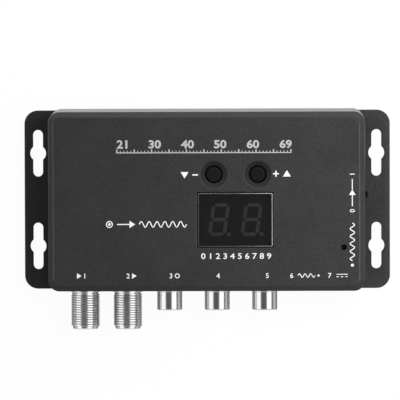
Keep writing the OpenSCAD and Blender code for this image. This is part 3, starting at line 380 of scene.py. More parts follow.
def bar(name, low, high, ease=0.0):
    """A straight bar between two corners with its edges eased"""
    low, high = Vector(low), Vector(high)
    size, middle = high - low, (low + high) / 2
    e = max(ease, 0.001)
    rings = [
        [(x + middle.x, y + middle.y, z)
         for x, y, z in rounded(size.x - 2 * i, size.y - 2 * i, e, z, 3)]
        for i, z in ((e * 0.9, low.z), (e * 0.25, low.z + e * 0.3), (0, low.z + e),
                     (0, high.z - e), (e * 0.25, high.z - e * 0.3), (e * 0.9, high.z))
    ]
    return skin(name, rings)


def baked(made):
    """The mesh that an object shows, as one of its own"""
    bpy.context.view_layer.update()
    return bpy.data.meshes.new_from_object(made.evaluated_get(bpy.context.evaluated_depsgraph_get()))


def settle(made):
    """Bakes the modifiers into the mesh"""
    done, old, name = baked(made), made.data, made.data.name
    made.modifiers.clear()
    made.data = done
    bpy.data.meshes.remove(old)
    done.name = name


def shaped(made, how, *tools):
    """Adds tools to a piece, or cuts them from it"""
    for tool in tools:
        step = made.modifiers.new(tool.name, "BOOLEAN")
        step.operation, step.object, step.solver = how, tool, "MANIFOLD"
    settle(made)
    for tool in tools:
        bpy.data.objects.remove(tool)


def fitted(made, slot, material, *nodes, body="housing", angle=30):
    """Shades a finished piece, marks its eased edges, gives it its finish and its body, and hides
    the nodes it stands for"""
    edge_width, edge_area, flat_area = 0.25 * mm, 0.4 * mm * mm, 20 * mm * mm
    made.data.shade_smooth()
    made.data.set_sharp_from_angle(angle=radians(angle))
    work = bmesh.new()
    work.from_mesh(made.data)
    mark = work.faces.layers.float.new("eased_edge")
    for face in work.faces:
        narrow = 2 * face.calc_area() < edge_width * face.calc_perimeter()
        face[mark] = narrow and face.calc_area() > edge_area and abs(face.normal.z) < 0.9999
    for edge in work.edges:
        if len(edge.link_faces) == 2 and edge.calc_face_angle(0) > 0.002:
            if max(face.calc_area() for face in edge.link_faces) > flat_area:
                edge.smooth = False
    work.to_mesh(made.data)
    work.free()
    even = made.modifiers.new("even", "WEIGHTED_NORMAL")
    even.keep_sharp, even.weight = True, 100
    settle(made)
    made.data.materials.clear()
    made.data.materials.append(material)
    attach(made, body)
    if nodes:
        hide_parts(*nodes)


def upright(x, y):
    """Place on the ground with the axis up"""
    return Matrix.Translation((x, y, 0))


def outward(x, z):
    """Place on the front wall with the axis out of it"""
    return Matrix.Translation((x, front_y, z)) @ Matrix.Rotation(pi / 2, 4, "X")


def keyhole_ring(grow, z):
    """Slot with round ends and a round entry in its middle, grown by an ease"""
    half, r = slot_half + grow, entry_r + grow
    meet = sqrt(r * r - half * half)
    turn = [radians(a) for a in range(0, 181, 12)]
    reach = asin(meet / r)
    swing = [(r * cos(a), r * sin(a)) for a in (reach * (k / 4 - 1) for k in range(9))]
    right = [(half, -slot_end)] + swing + [(half, slot_end)]
    over = [(half * cos(a), slot_end + half * sin(a)) for a in turn[1:-1]]
    side = right + over
    return [(x, y, z) for x, y in side + [(-x, -y) for x, y in side]]


def socket_cutters():
    """Openings of the front wall that both mouldings share"""
    cutters = []
    front, back = -draft * parting / draft_top, -wall - 1.5
    for name, xs, z, r in (
            ("coax", coax_xs, parting, coax_hole_r), ("phono", phono_xs, parting, phono_hole_r),
            ("jack", (jack_x,), jack_z, jack_hole_r)):
        for x in xs:
            cutters.append(turned(name + "_hole", [
                (0, back), (r, back), (r, front - hole_ease, 0.1),
                (r + hole_ease * 3, front + 2 * hole_ease), (0, front + 2 * hole_ease)], outward(x, z)))
    return cutters


def low_openings(power_top, knob_top):
    """Openings round the power socket and the knob, up to a height each"""
    return [
        bar("power_opening", (power_x - power_hole_half_w, front_y - overrun, power_z - power_hole_half_h),
            (power_x + power_hole_half_w, front_y + notch_reach, power_top)),
        bar("knob_opening", (knob_notch_from, knob_y - knob_slot_half_l, knob_z - knob_slot_half_h),
            (knob_notch_to, knob_y + knob_slot_half_l, knob_top)),
    ]


def at_posts(name, profile, steps=36):
    """The same turned form at each post"""
    return [turned(name, profile, upright(x, y), steps) for x, y in post_places]


base = skin("base_moulding", [wall_ring(inset, z) for inset, z in eased([
    (foot_ease, 0), (0, foot_ease), (0, parting, parting_ease), (wall - lip_t, parting),
    (wall - lip_t, parting + lip_h, 0.2), (wall + 1, parting + lip_h)])])
ears = skin("ears", [
    rounded(ear_w - 2 * inset, ear_d - 2 * inset, ear_r - inset, z)
    for inset, z in eased([
        (ear_foot_ease, 0), (0, ear_foot_ease), (0, ear_t, ear_ease), (2, ear_t)])])
shaped(base, "UNION", ears)
shaped(base, "DIFFERENCE", skin("room_inside", [wall_ring(wall, z) for z in (wall, parting + 4)]))
shaped(base, "UNION", *at_posts(
    "post", [(0, wall / 2), (post_r, wall / 2), (post_r, post_top, 0.2), (0, post_top)]))
shaped(
    base, "DIFFERENCE", *socket_cutters(),
    bar("jack_notch", (jack_x - jack_hole_r, front_y - overrun, jack_z),
        (jack_x + jack_hole_r, front_y + notch_reach, notch_top)),
    *low_openings(notch_top, notch_top),
    *[skin("keyhole", [
        keyhole_ring(grow, z) for grow, z in (
            (hole_ease * 2, -hole_ease), (0, hole_ease),
            (0, ear_t - hole_ease), (hole_ease * 2, ear_t + hole_ease))], place=upright(x, y))
      for x, y in slot_places],
    *at_posts("screw_well", [
        (0, -overrun), (head_well_r + head_well_ease, -overrun), (head_well_r, head_well_ease - overrun),
        (head_well_r, head_well_h), (shank_hole_r, head_well_h), (shank_hole_r, shank_hole_top),
        (0, shank_hole_top)]),
)
dark_plastic = moulded(
    "dark_moulded_plastic", 42, roughness=0.47, shade=0.24, wall_gloss=0.17, speck=1.4, edge_wear_and_highlight=0.5,
    painted_light_drift=0.2, Specular_IOR_Level=0.36)
fitted(base, "housing_plastic", dark_plastic, "base_shell")

# Cover moulding. The upper half of the box, with a chamfered rim, a dished well round each key, the
# display opening, the lamp hole, and tongues that fill the notches above the low sockets and the knob.
top_z = 25.97
window_x, window_y, window_w, window_d, window_r = 9.53, -6.05, 25.3, 18.4, 0.45
key_xs, key_y, key_hole_r = (2.5, 17.0), 9.0, 2.9
well_r, well_depth, dish_rs = 4.5, 1.3, (3.05, 3.35, 3.65, 3.95, 4.2)
lamp_x, lamp_y, lamp_hole_r, lamp_hole_ease = 45.4, -15.24, 0.9, 0.22
tongue_play, tongue_top = 0.15, parting + 0.6
boss_r, boss_top, bore_r, bore_low, bore_top = 2.9, 24.5, 1.3, 7, 18
hole_low, hole_top, key_hole_low = 22, 27, 20


def front_tongue(name, x, half, low):
    """Block flush with the drafted front wall, from a low edge up into the cover"""
    rings = []
    for z in (low, tongue_top):
        outer = front_y + draft * z / draft_top
        corners = (x - half, outer), (x + half, outer), (x + half, outer + wall), (x - half, outer + wall)
        rings.append([(*corner, z) for corner in corners])
    return skin(name, rings)


rebate, rebate_top = wall - lip_t - lip_play, parting + lip_h + lip_play
cover = skin("cover_moulding", [wall_ring(inset, z) for inset, z in eased([
    (wall, body_h - wall), (wall, rebate_top), (rebate, rebate_top), (rebate, parting),
    (0, parting, parting_ease), (0, draft_top, 0.3), (chamfer, top_z, 0.3), (chamfer + 3, top_z)])])
knob_tongue_half = knob_slot_half_l - tongue_play
knob_levels = [(body_w / 2 - draft * z / draft_top, z) for z in (knob_z, tongue_top)]
shaped(
    cover, "UNION",
    front_tongue("jack_tongue", jack_x, jack_hole_r - tongue_play, jack_z),
    front_tongue("power_tongue", power_x, power_hole_half_w - tongue_play, power_z),
    skin("knob_tongue", [
        [(outer - wall, knob_y - knob_tongue_half, z), (outer, knob_y - knob_tongue_half, z),
         (outer, knob_y + knob_tongue_half, z), (outer - wall, knob_y + knob_tongue_half, z)]
        for outer, z in knob_levels]),
    *at_posts("post", [(0, post_top), (boss_r, post_top), (boss_r, boss_top), (0, boss_top)]),
)
ball_r = (well_r ** 2 + well_depth ** 2) / (2 * well_depth)
dish = [(r, body_h - well_depth + ball_r - sqrt(ball_r ** 2 - r ** 2)) for r in dish_rs]
dish_brim = [(4.42, 25.83), (4.6, 25.92), (4.85, top_z + 0.01)]
window_eases = (
    (0, hole_low), (0, top_z - 0.22), (0.06, top_z - 0.08), (0.2, top_z + 0.01), (0.2, hole_top))
shaped(
    cover, "DIFFERENCE", *socket_cutters(),
    *low_openings(power_z + power_hole_half_h, knob_z + knob_slot_half_h),
    *[turned("key_well", [
        (0, key_hole_low), (key_hole_r, key_hole_low), (key_hole_r, dish[0][1] - 0.14), *dish, *dish_brim,
        (dish_brim[-1][0], hole_top), (0, hole_top)], upright(x, key_y), 72) for x in key_xs],
    skin("window_hole", [
        rounded(window_w + 2 * grow, window_d + 2 * grow, window_r + grow, z)
        for grow, z in window_eases], place=upright(window_x, window_y)),
    turned("lamp_hole", [
        (0, hole_low), (lamp_hole_r, hole_low), (lamp_hole_r, top_z + 0.02 - lamp_hole_ease),
        (lamp_hole_r + lamp_hole_ease, top_z + 0.02), (0, top_z + 0.02)], upright(lamp_x, lamp_y), 40),
    *at_posts("screw_bore", [(0, bore_low), (bore_r, bore_low), (bore_r, bore_top), (0, bore_top)], 24),
)
fitted(cover, "housing_plastic", dark_plastic, "top_cover")
# Painted shade: the dish round each key takes a darker plastic, 22 against 42, for the shade in the well
cover.data.materials.append(moulded(
    "smooth_key_well", 22, roughness=0.5, edge_wear_and_highlight=0.2, Specular_IOR_Level=0.3))
dish_edge, dish_low, dish_high = 4.45, 24, 25.9
for face in cover.data.polygons:
    x, y, z = face.center / mm
    to_key = min(sqrt((x - key_x) ** 2 + (y - key_y) ** 2) for key_x in key_xs)
    if dish_low < z < dish_high and to_key < dish_edge:
        face.material_index = 1

# Display window. A flat lens of smoked plastic set a hair below the cover's face, with eased edges and a
# flange that holds it under the opening.
lens_gap, lens_z, lens_ease, lens_highlight_from, lens_highlight_slope = 0.36, 25.8, 0.45, 24.5, 0.97
flange_w, flange_low, flange_top = 1.2, 22.8, 23.76
smoked = Finish("smoked_plastic", IOR=1.49, Specular_IOR_Level=0.5, Alpha=0.55)
haze = smoked.noise(6, 3)
smoked.drive(Base_Color=smoked.tint(haze, paint(26), paint(31)), Roughness=0.1 + haze * 0.06)
smoked.bump(smoked.noise(9, 1), 0.004)
# Painted highlight: the lens's upper edge faces are painted pale, dimmest at the left and brightest at the
# right
lens_edge_highlight = Finish("cut_edge_of_lens", IOR=1.49)
chips = lens_edge_highlight.noise(0.9, 3)
painted_light_rightward = (lens_edge_highlight.axes(lens_edge_highlight.place)[0] - window_x * mm).over(0, window_w / 2 * mm)
lens_edge_highlight.drive(
    Base_Color=lens_edge_highlight.tint((0.7 + chips * 0.6) * (0.3 + painted_light_rightward * 0.7), paint(40), paint(200)),
    Roughness=0.2 + chips * 0.15)
lens_edge_highlight.bump(chips, 0.01)
lens = skin("display_lens", [
    rounded(window_w - 2 * (lens_gap + inset), window_d - 2 * (lens_gap + inset),
            max(0.08, window_r - inset), z)
    for inset, z in eased([
        (-flange_w, flange_low), (-flange_w, flange_top), (0, flange_top), (0, lens_z, lens_ease),
        (3, lens_z)])], place=upright(window_x, window_y))
fitted(lens, "smoked_window", smoked.material, "display_window")
lens.data.materials.append(lens_edge_highlight.material)
# The upper edge faces take the painted edge highlight
for face in lens.data.polygons:
    if face.center.z > lens_highlight_from * mm and face.normal.z < lens_highlight_slope:
        face.material_index = 1

# Keys. Two round black keys with slightly crowned faces, each on a stem in the cover's guide, with a
# flange below that keeps it in.
key_r, key_top, key_foot = 2.5, 25.6, 21.2
key_flange_r, key_flange_low, key_flange_top = 3.9, 21.4, 22.3
key_plastic = moulded("key_plastic", 9, roughness=0.5, grain=0.22, edge_wear_and_highlight=0.15, Specular_IOR_Level=0.22)
for name, x in (("channel_down_button", key_xs[0]), ("channel_up_button", key_xs[1])):
    button = turned(name, [
        (0, key_foot), (key_r, key_foot), (key_r, key_flange_low), (key_flange_r, key_flange_low),
        (key_flange_r, key_flange_top), (key_r, key_flange_top),
        (key_r, key_top - 0.12, 0.35), (key_r - 0.5, key_top - 0.02, 0.2), (1.2, key_top), (0, key_top)],
        upright(x, key_y), 64)
    body = name.replace("button", "key")
    fitted(button, "key_plastic", key_plastic, body, body=body)

# Aerial sockets. A plated brass barrel with a fine V thread, a plain lead and a countersunk mouth, round
# a white insulator and a split contact.
coax_lead_end, coax_thread_end = 12.2, 11.0
coax_bore_r, coax_lead_r, coax_collar_r, coax_flange_r = 3.3, 4.15, 4.95, 5.5
coax_flange_back, coax_flange_front = -4.2, -3.0
thread_pitch, thread_crest_r, thread_depth, thread_runout, crest_share = 0.79, 4.7, 0.52, 0.6, 0.52
thread_root_r = thread_crest_r - thread_depth
block_size, block_back, core_r, core_front, core_bore_r = 8, -12.2, 3.29, 11.6, 1.1
core_rim_r, core_dish_r, core_dish, core_lead_r, core_mouth_r, core_stop = 2.3, 2.1, 0.25, 1.0, 0.75, 10.8
leg_half_w, leg_foot, leg_top, leg_spread, leg_ys = 0.45, 4, 9.3, 3.2, (-25.5, -19.1)


def plated(name, tone, roughness=0.16, shade=0.1, **plain):
    """Plated metal: tarnish clouds, painted shade in the grooves, a fine grain and handling scratches"""
    made = Finish(name, Metallic=1, **plain)
    cloud, fine = made.noise(3.5, 4), made.noise(0.25, 3)
    scratch = made.noise(0.3, 2, (1, 0.12, 1))
    groove = made.add("ShaderNodeAttribute", output="Fac", attribute_name="groove")
    unshaded = made.tint(cloud.over(0.3, 0.7), paint(tone, 1 - shade), paint(tone))
    made.drive(
        # Painted shade: the thread's grooves are painted darker towards their roots
        Base_Color=made.tint(groove.over(0.55, 1) * 0.5, unshaded, paint(tone, 0.15)),
        Roughness=roughness - 0.04 + cloud * 0.1 + scratch * 0.05,
    )
    made.bump(fine * 0.5 + scratch * 0.5, 0.0016)
    return made.material


nickel = plated("nickel_plate", 250)


class Growth(Graph):
    """A shape tree with named inputs, which ends in real mesh with its finish."""

    def __init__(self, name, **inputs):
        super().__init__(bpy.data.node_groups.new(name, "GeometryNodeTree"))
        for label, kind in inputs.items():
            self.tree.interface.new_socket(
                label.replace("_", " "), in_out="INPUT", socket_type="NodeSocket" + kind)
        self.tree.interface.new_socket("Mesh", in_out="OUTPUT", socket_type="NodeSocketGeometry")
        given = self.add("NodeGroupInput").node
        self.inputs = [Wire(self, given, i) for i in range(len(inputs))]

    def end(self, shape, finish):
        shape = self.add("GeometryNodeRealizeInstances", {0: shape})
        shape = self.add("GeometryNodeSetMaterial", {"Geometry": shape, "Material": finish})
        self.add("NodeGroupOutput", {0: shape})


thread = Growth("thread", Turns="Float", Length="Float", Radius="Float", Depth="Float", Foot_Width="Float",
                Finish="Material")
turns, length, radius, depth, foot, metal = thread.inputs
coil = thread.add("GeometryNodeCurveSpiral", {
    "Resolution": 40, "Rotations": turns, "Start Radius": radius, "End Radius": radius, "Height": length})
coil = thread.add("GeometryNodeSetCurveNormal", {0: coil}, mode="Z_UP")
along = thread.add("GeometryNodeSplineParameter")
taper = along.over(0, 0.05) * (1 - along).over(0, 0.05)
vee = thread.add("GeometryNodeCurvePrimitiveQuadrilateral", {
    "Height": 1.0, "Bottom Width": 1.0, "Top Width": crest_share, "Offset": 0.0}, mode="TRAPEZOID")
vee = thread.add("GeometryNodeTransform", {
    "Geometry": vee, "Translation": (-0.5, 0, 0), "Rotation": (0, 0, pi / 2)})
inwards = thread.axes(thread.add("GeometryNodeInputPosition"))[0]
# The depth in the thread's groove, which the plated finish uses for painted shade
vee = thread.add("GeometryNodeStoreNamedAttribute", {
    "Geometry": vee, "Name": "groove", "Value": inwards + 1}, data_type="FLOAT")
vee = thread.add("GeometryNodeTransform", {"Geometry": vee, "Scale": thread.vector(depth, foot, 1)})
ridge = thread.add("GeometryNodeCurveToMesh", {
    "Curve": coil, "Profile Curve": vee, "Scale": taper, "Fill Caps": True})
thread.end(ridge, metal)


def grown(name, growth, inputs, place=Matrix(), points=()):
    """Mesh object that a shape tree makes, with its inputs set by their identifiers"""
    made = linked(name, bpy.data.meshes.new(name))
    made.data.from_pydata(list(points), [], [])
    modifier = made.modifiers.new("growth", "NODES")
    modifier.node_group = growth.tree
    for item in growth.tree.interface.items_tree:
        if item.in_out == "INPUT" and item.name in inputs:
            modifier[item.identifier] = inputs[item.name]
    settle(made)
    made.data.transform(Matrix.Diagonal((mm, mm, mm, 1)) @ place)
    return made


def joined(name, *parts):
    """One object from several meshes that stay as they are"""
    work = bmesh.new()
    for part in parts:
        work.from_mesh(part.data)
        bpy.data.objects.remove(part)
    mesh = bpy.data.meshes.new(name)
    work.to_mesh(mesh)
    work.free()
    return linked(name, mesh)


def bored_block(name, size, bore_r, low, high, place):
    """Square block with a round bore along the socket's axis"""
    corners = rounded(size, size, 0.3, 0)
    outer = [[(x, y, z) for x, y, _ in corners] for z in (low, high)]
    ways = [Vector((x, y)).normalized() * bore_r for x, y, _ in corners]
    inner = [[(*way, z) for way in ways] for z in (high, low)]
    return skin(name, outer + inner, True, place)


white_plastic = moulded("white_insulator", 222, roughness=0.45, edge_wear_and_highlight=0.1, shade=0.05)
for node, x in zip(("rf_in", "rf_out"), coax_xs):
    place = outward(x, parting)
    barrel = turned("barrel", [
        (coax_bore_r, coax_flange_back), (coax_flange_r, coax_flange_back, 0.1),
        (coax_flange_r, coax_flange_front - 0.02, 0.1), (coax_collar_r, coax_flange_front),
        (coax_collar_r, -0.1, 0.12), (thread_root_r + 0.02, 0.0),
        (thread_root_r + 0.02, coax_thread_end - 0.1), (coax_lead_r, coax_thread_end + 0.1, 0.1),
        (coax_lead_r, coax_lead_end, 0.4), (coax_lead_r - 0.3, coax_lead_end, 0.1),
        (coax_bore_r, coax_lead_end - 0.55, 0.1)], place, 72)
    turn_count = (coax_thread_end + thread_runout) / thread_pitch
    vee_ridge = grown("vee", thread, {
        "Turns": turn_count, "Length": thread_pitch * turn_count, "Radius": thread_root_r,
        "Depth": thread_depth, "Foot Width": thread_pitch, "Finish": nickel},
        place @ Matrix.Translation((0, 0, 0.1)))
    block = bored_block("block", block_size, coax_bore_r, block_back, coax_flange_back + 0.1, place)
    legs = [bar("leg", (leg_x - leg_half_w, y - leg_half_w, leg_foot),
                (leg_x + leg_half_w, y + leg_half_w, leg_top), 0.08)
            for leg_x in (x - leg_spread, x + leg_spread) for y in leg_ys]
    fitted(joined(node + "_threaded_barrel", vee_ridge, barrel, block, *legs), "plated_socket",
           nickel, node + "_barrel", angle=40)
    core = turned(node + "_core", [
        (core_bore_r, block_back), (core_r, block_back), (core_r, core_front, 0.1),
        (core_rim_r, core_front, 0.1), (core_dish_r, core_front - core_dish, 0.1),
        (core_lead_r, core_front - core_dish, 0.1), (core_mouth_r, core_stop + 0.1),
        (core_mouth_r, core_stop), (core_bore_r, core_stop)], place, 48)
    fitted(core, "white_plastic", white_plastic, node + "_insulator")

# Phono sockets. A thin drawn sleeve of plated steel with a rolled mouth round a coloured insert, in a
# black block behind the wall, with two spring leaves for the plug's pin.
sleeve_r, sleeve_wall, sleeve_end, sleeve_back, sleeve_seat_r = 4.15, 0.5, 5.95, -5, 4.4
insert_r, insert_face, pin_bore_r = 3.64, 5.25, 1.65
insert_rim_r, insert_dish_r, insert_dish = 2.6, 2.4, 0.25
strap_half_w, strap_front, strap_back, strap_foot, strap_top = 1.1, -26.2, -25.5, 4, 9
bright = plated("bright_plate", 245, roughness=0.1, shade=0.05)
black_plastic = moulded("black_plastic", 24, roughness=0.55)
inserts = {
    "video": ("yellow_plastic", (214, 178, 38)), "left": ("white_plastic", (226, 226, 220)),
    "right": ("red_plastic", (170, 30, 32)),
}
for (node, (slot, tone)), x in zip(inserts.items(), phono_xs):
    place = outward(x, parting)
    sleeve = turned("sleeve", [
        (sleeve_r - sleeve_wall, sleeve_back), (sleeve_seat_r, sleeve_back), (sleeve_seat_r, -0.2, 0.1),
        (sleeve_r, -0.1, 0.05), (sleeve_r, sleeve_end, 0.4), (sleeve_r - sleeve_wall, sleeve_end, 0.08)],
        place, 72)
    strap = bar("strap", (x - strap_half_w, strap_front, strap_foot),
                (x + strap_half_w, strap_back, strap_top), 0.1)
    fitted(joined(node + "_phono_sleeve", sleeve, strap), "plated_socket", bright,
           node + "_jack_sleeve")
    insert = turned(node + "_phono_insert", [
        (pin_bore_r, sleeve_back), (insert_r, sleeve_back), (insert_r, insert_face, 0.15),
        (insert_rim_r, insert_face, 0.1), (insert_dish_r, insert_face - insert_dish, 0.1),
        (pin_bore_r, insert_face - insert_dish, 0.2)], place)
    fitted(insert, slot, moulded(slot, tone, roughness=0.42, edge_wear_and_highlight=0.1, shade=0.06),
           node + "_jack_insert")

# Display. Two seven-segment digits that lean to the right, set in a black block with eased edges; the
# segments are pale plates a hair below its face.
digit_h, digit_w, digit_pitch, segment_w, digit_lean = 10.8, 6, 10.8, 1.15, tan(radians(8))
segment_gap, dot_gap, dot_r = 0.35, 0.9, 0.65
display_half_w, display_half_d, display_foot, display_z = 10.8, 7.2, 16.5, 22.5
pocket_depth, plate_t, plate_sunk = 0.3, 0.26, 0.03
rise, side_x, tip = (digit_h - segment_w) / 2, (digit_w - segment_w) / 2, segment_w / 2


def segment_shape(x, y, half, stands):
    """Outline of a segment with pointed ends that leans to the right"""
    outline = [(-half, 0), (tip - half, tip), (half - tip, tip), (half, 0), (half - tip, -tip),
               (tip - half, -tip)]
    if stands:
        outline = [(b, a) for a, b in outline]
    return [(x + a + digit_lean * (y + b), window_y + y + b) for a, b in outline]


digit_shapes = []
for x in (window_x - digit_pitch / 2, window_x + digit_pitch / 2):
    digit_shapes += [segment_shape(x, y, side_x - segment_gap / 2, False) for y in (-rise, 0, rise)]
    digit_shapes += [
        segment_shape(x + side, y, rise / 2 - segment_gap / 2, True)
        for side in (-side_x, side_x) for y in (-rise / 2, rise / 2)]
    dot_x = x + digit_w / 2 + dot_gap - digit_lean * rise
    digit_shapes.append(circle(dot_r, 20, dot_x, window_y - rise))
display = bar("display_block", (window_x - display_half_w, window_y - display_half_d, display_foot),
              (window_x + display_half_w, window_y + display_half_d, display_z), 0.25)
shaped(display, "DIFFERENCE", *[
    skin("pocket", [[(x, y, z) for x, y in shape] for z in (display_z - pocket_depth, display_z + 0.5)])
    for shape in digit_shapes])
display_black = moulded("display_black", 26, roughness=0.5)
fitted(display, "black_plastic", display_black, "display_housing")
segment = moulded("segment_plastic", 165, roughness=0.5, edge_wear_and_highlight=0)
fitted(joined("display_segment_plates", *[
    skin("segment", [
        [(x, y, display_z - plate_sunk - low) for x, y in shape] for low in (plate_t, 0)])
    for shape in digit_shapes]), "segment_plastic", segment, "display_segments")

# Case screws. Four self-tapping screws with pan heads, driven up into the posts from below, each with a
# cross recess that stopped at a turn of its own.
screw_seat, screw_head_h, screw_head_r, screw_core_r = 3.0, 1.7, 2.6, 1.08
screw_l, screw_thread_l = 14, 12.4
recess_half_l, recess_half_w, recess_floor = 1.5, 0.32, -0.8
screw_turns, screw_vee_depth, screw_vee_foot = 21.0, 0.2, 0.44
steel = plated("screw_steel", 180, roughness=0.28)
screw = turned("screw_pattern", [
    (0, -screw_head_h), (1.5, -screw_head_h, 0.6), (screw_head_r, -0.9, 0.5), (screw_head_r, 0, 0.12),
    (screw_core_r, 0, 0.1), (screw_core_r, screw_thread_l, 0.2), (0, screw_l - 0.05)], steps=40)
shaped(screw, "DIFFERENCE", *[
    bar("cross", (-w, -d, -2), (w, d, recess_floor), 0.1)
    for w, d in ((recess_half_l, recess_half_w), (recess_half_w, recess_half_l))])
screw_ridge = grown("screw_ridge", thread, {
    "Turns": screw_turns, "Length": screw_thread_l, "Radius": screw_core_r, "Depth": screw_vee_depth,
    "Foot Width": screw_vee_foot, "Finish": steel})
screw = joined("screw_pattern", screw_ridge, screw)
screw_set = Growth("screw_set", Places="Geometry", Pattern="Object", Seed="Int", Finish="Material")
places, pattern, seed, metal = screw_set.inputs
one = screw_set.add("GeometryNodeObjectInfo", {"Object": pattern}, output=4)
angle = screw_set.add("FunctionNodeRandomValue", {
    0: (0, 0, 0), 1: (0, 0, pi), 8: seed}, data_type="FLOAT_VECTOR")
stood = screw_set.add("GeometryNodeInstanceOnPoints", {
    "Points": places, "Instance": one, "Rotation": angle})
screw_set.end(stood, metal)
screws = grown("case_screw_set", screw_set, {"Pattern": screw, "Seed": 5, "Finish": steel},
               Matrix.Scale(1 / mm, 4), [Vector((x, y, screw_seat)) * mm for x, y in post_places])
bpy.data.objects.remove(screw)
fitted(screws, "screw_steel", steel, "case_screws", angle=40)

# Slide switch knob. A block that runs in the switch's frame, and a finger that pokes out of the right
# wall, with grip ribs across its end.
knob_corners = (46.8, 0.1, 8.62), (49.2, 3.5, 11.08)
finger_corners = (48.6, 0.8, 8.95), (53.9, 2.8, 10.75)
groove_half, groove_low, groove_from = 0.09, 10.55, 53.72
groove_xs, groove_ys = (52.95, 53.4), (1.3, 1.8, 2.3)
knob = bar("slide_switch_finger", *knob_corners, 0.15)
finger = bar("finger", *finger_corners, 0.22)
shaped(
    finger, "DIFFERENCE",
    *[bar("groove", (x - groove_half, 0, groove_low), (x + groove_half, 4, 12)) for x in groove_xs],
    *[bar("groove", (groove_from, y - groove_half, 8), (54.5, y + groove_half, 12)) for y in groove_ys],
)
shaped(knob, "UNION", finger)
fitted(knob, "key_plastic", key_plastic, "slide_switch_knob", body="slide_knob")

# Signal lamp. A domed body of smoked resin with a rim at its foot, below the small hole at the right.
lamp_r, lamp_rim_r, lamp_foot, lamp_rim_top, lamp_dome_z = 1.5, 1.8, 18.5, 19.4, 22
resin = Finish("lamp_resin", IOR=1.5, Alpha=0.92)
cloud = resin.noise(1.2, 2)
resin.drive(Base_Color=resin.tint(cloud, paint(10), paint(18)), Roughness=0.12 + cloud * 0.08)
resin.bump(cloud, 0.01)
dome = turned("signal_lamp_dome", [
    (0, lamp_foot), (lamp_rim_r, lamp_foot, 0.06), (lamp_rim_r, lamp_rim_top, 0.1),
    (lamp_r, lamp_rim_top, 0.05),
    *[(lamp_r * cos(radians(a)), lamp_dome_z + lamp_r * sin(radians(a))) for a in range(0, 90, 15)],
    (0, lamp_dome_z + lamp_r)], upright(lamp_x, lamp_y), 40)
fitted(dome, "lamp_resin", resin.material, "signal_lamp")

# Low sockets. The round jack of the lamp lead and the shell and tongue of the power socket are their own
# solids with their edges eased.
tin = plated("tinned_steel", 190, roughness=0.3)
for node, slot, material, ease in (
        ("lamp_lead_jack_housing", "black_plastic", black_plastic, 0.12),
        ("power_socket_shell", "tinned_steel", tin, 0.06),
        ("power_socket_tongue", "black_plastic", black_plastic, 0.06)):
    copy = bpy.data.objects.new(node + "_copy", frame["nodes"][node].data.copy())
    made = joined(node.replace("housing", "body") + "_eased", copy)
    work = bmesh.new()
    work.from_mesh(made.data)
    bmesh.ops.remove_doubles(work, verts=work.verts, dist=2e-6)
    bmesh.ops.dissolve_limit(work, angle_limit=radians(1), verts=work.verts, edges=work.edges)
    work.to_mesh(made.data)
    work.free()
    bevel = made.modifiers.new("bevel", "BEVEL")
    bevel.width, bevel.segments, bevel.limit_method, bevel.angle_limit = ease * mm, 2, "ANGLE", radians(40)
    fitted(made, slot, material, node)

# Printed marks. Pale ink on the cover: a dial scale of plain numbers over the keys, arrows and signs at
# the keys and the window, a number at each port, and two rows along the right edge.
ink_low, ink_high, ink_line = 25.965, 26.0, 0.33
figure_h, figure_bold = 1.65, 0.012
minus_y, plus_y, flow_y, window_row_y, port_row_y, side_row_x, side_row_y = (
    8.87, 9.2, -7.45, -18.0, -24.5, 48.18, -4.0)
port_figure_xs = (-40.3, -25.95, -11.8, 3.8, 20.06, 28.1, 40.7)
dial_x, dial_y, dial_l, dial_steps = -0.8, 16.35, 57.5, 50


def inked(name, tone):
    """Printed ink: slightly uneven cover with a dry surface"""
    made = Finish(name)
    patch, fine = made.noise(1.6, 3), made.noise(0.2, 2)
    cover = (patch * 0.5 + fine * 0.5).over(0.3, 0.7)
    made.drive(Base_Color=made.tint(cover, paint(tone, 0.8), paint(tone)), Roughness=0.5 + patch * 0.15)
    made.bump(fine, 0.004)
    return made.material


def flat_mark(points):
    """Flat patch of ink from its outline"""
    return skin("mark", [[(x, y, z) for x, y in points] for z in (ink_low, ink_high)])


def stroke(points, width=ink_line):
    """A line of even width through points"""
    points = [Vector(point) for point in points]
    section = ((1, ink_low), (1, ink_high), (-1, ink_high), (-1, ink_low))
    rings = []
    for i, here in enumerate(points):
        way = (points[min(i + 1, len(points) - 1)] - points[max(i - 1, 0)]).normalized()
        side = Vector((-way.y, way.x)) * width / 2
        rings.append([(*(here + side * k), z) for k, z in section])
    return [skin("mark", rings)]


def dash(left, right, y, width=ink_line):
    """A straight line along x"""
    return stroke([(left, y), (right, y)], width)


def plus(x, y, reach, half_line):
    """Plus sign as one patch"""
    arm = ((reach, half_line), (half_line, half_line), (half_line, reach))
    turns = [Matrix.Rotation(pi / 2 * k, 2) for k in range(4)]
    return [flat_mark([tuple(Vector((x, y)) + turn @ Vector(point)) for turn in turns for point in arm])]


def spot(x, y, r):
    """Round patch of ink"""
    return [flat_mark(circle(r, 24, x, y))]


def hoop(x, y, r, width=ink_line):
    """Ring of ink"""
    section = ((r, ink_low), (r, ink_high), (r - width, ink_high), (r - width, ink_low))
    return [skin("mark", [[(*point, z) for point in circle(k, 32, x, y)] for k, z in section], True)]


def wave(x, y, length, height, turns, width=ink_line):
    """Row of even waves that starts at (x, y)"""
    steps = 12 * turns
    return stroke([
        (x + length * i / steps, y + height * sin(2 * pi * turns * i / steps)) for i in range(steps + 1)
    ], width)


def arrow(x, y, way, size):
    """Filled arrow head pointing along way"""
    way = Vector(way) * size
    side = Vector((-way.y, way.x)) * 0.62
    tip, foot = Vector((x, y)) + way * 0.55, Vector((x, y)) - way * 0.45
    return [flat_mark([tuple(tip), tuple(foot + side), tuple(foot - side)])]


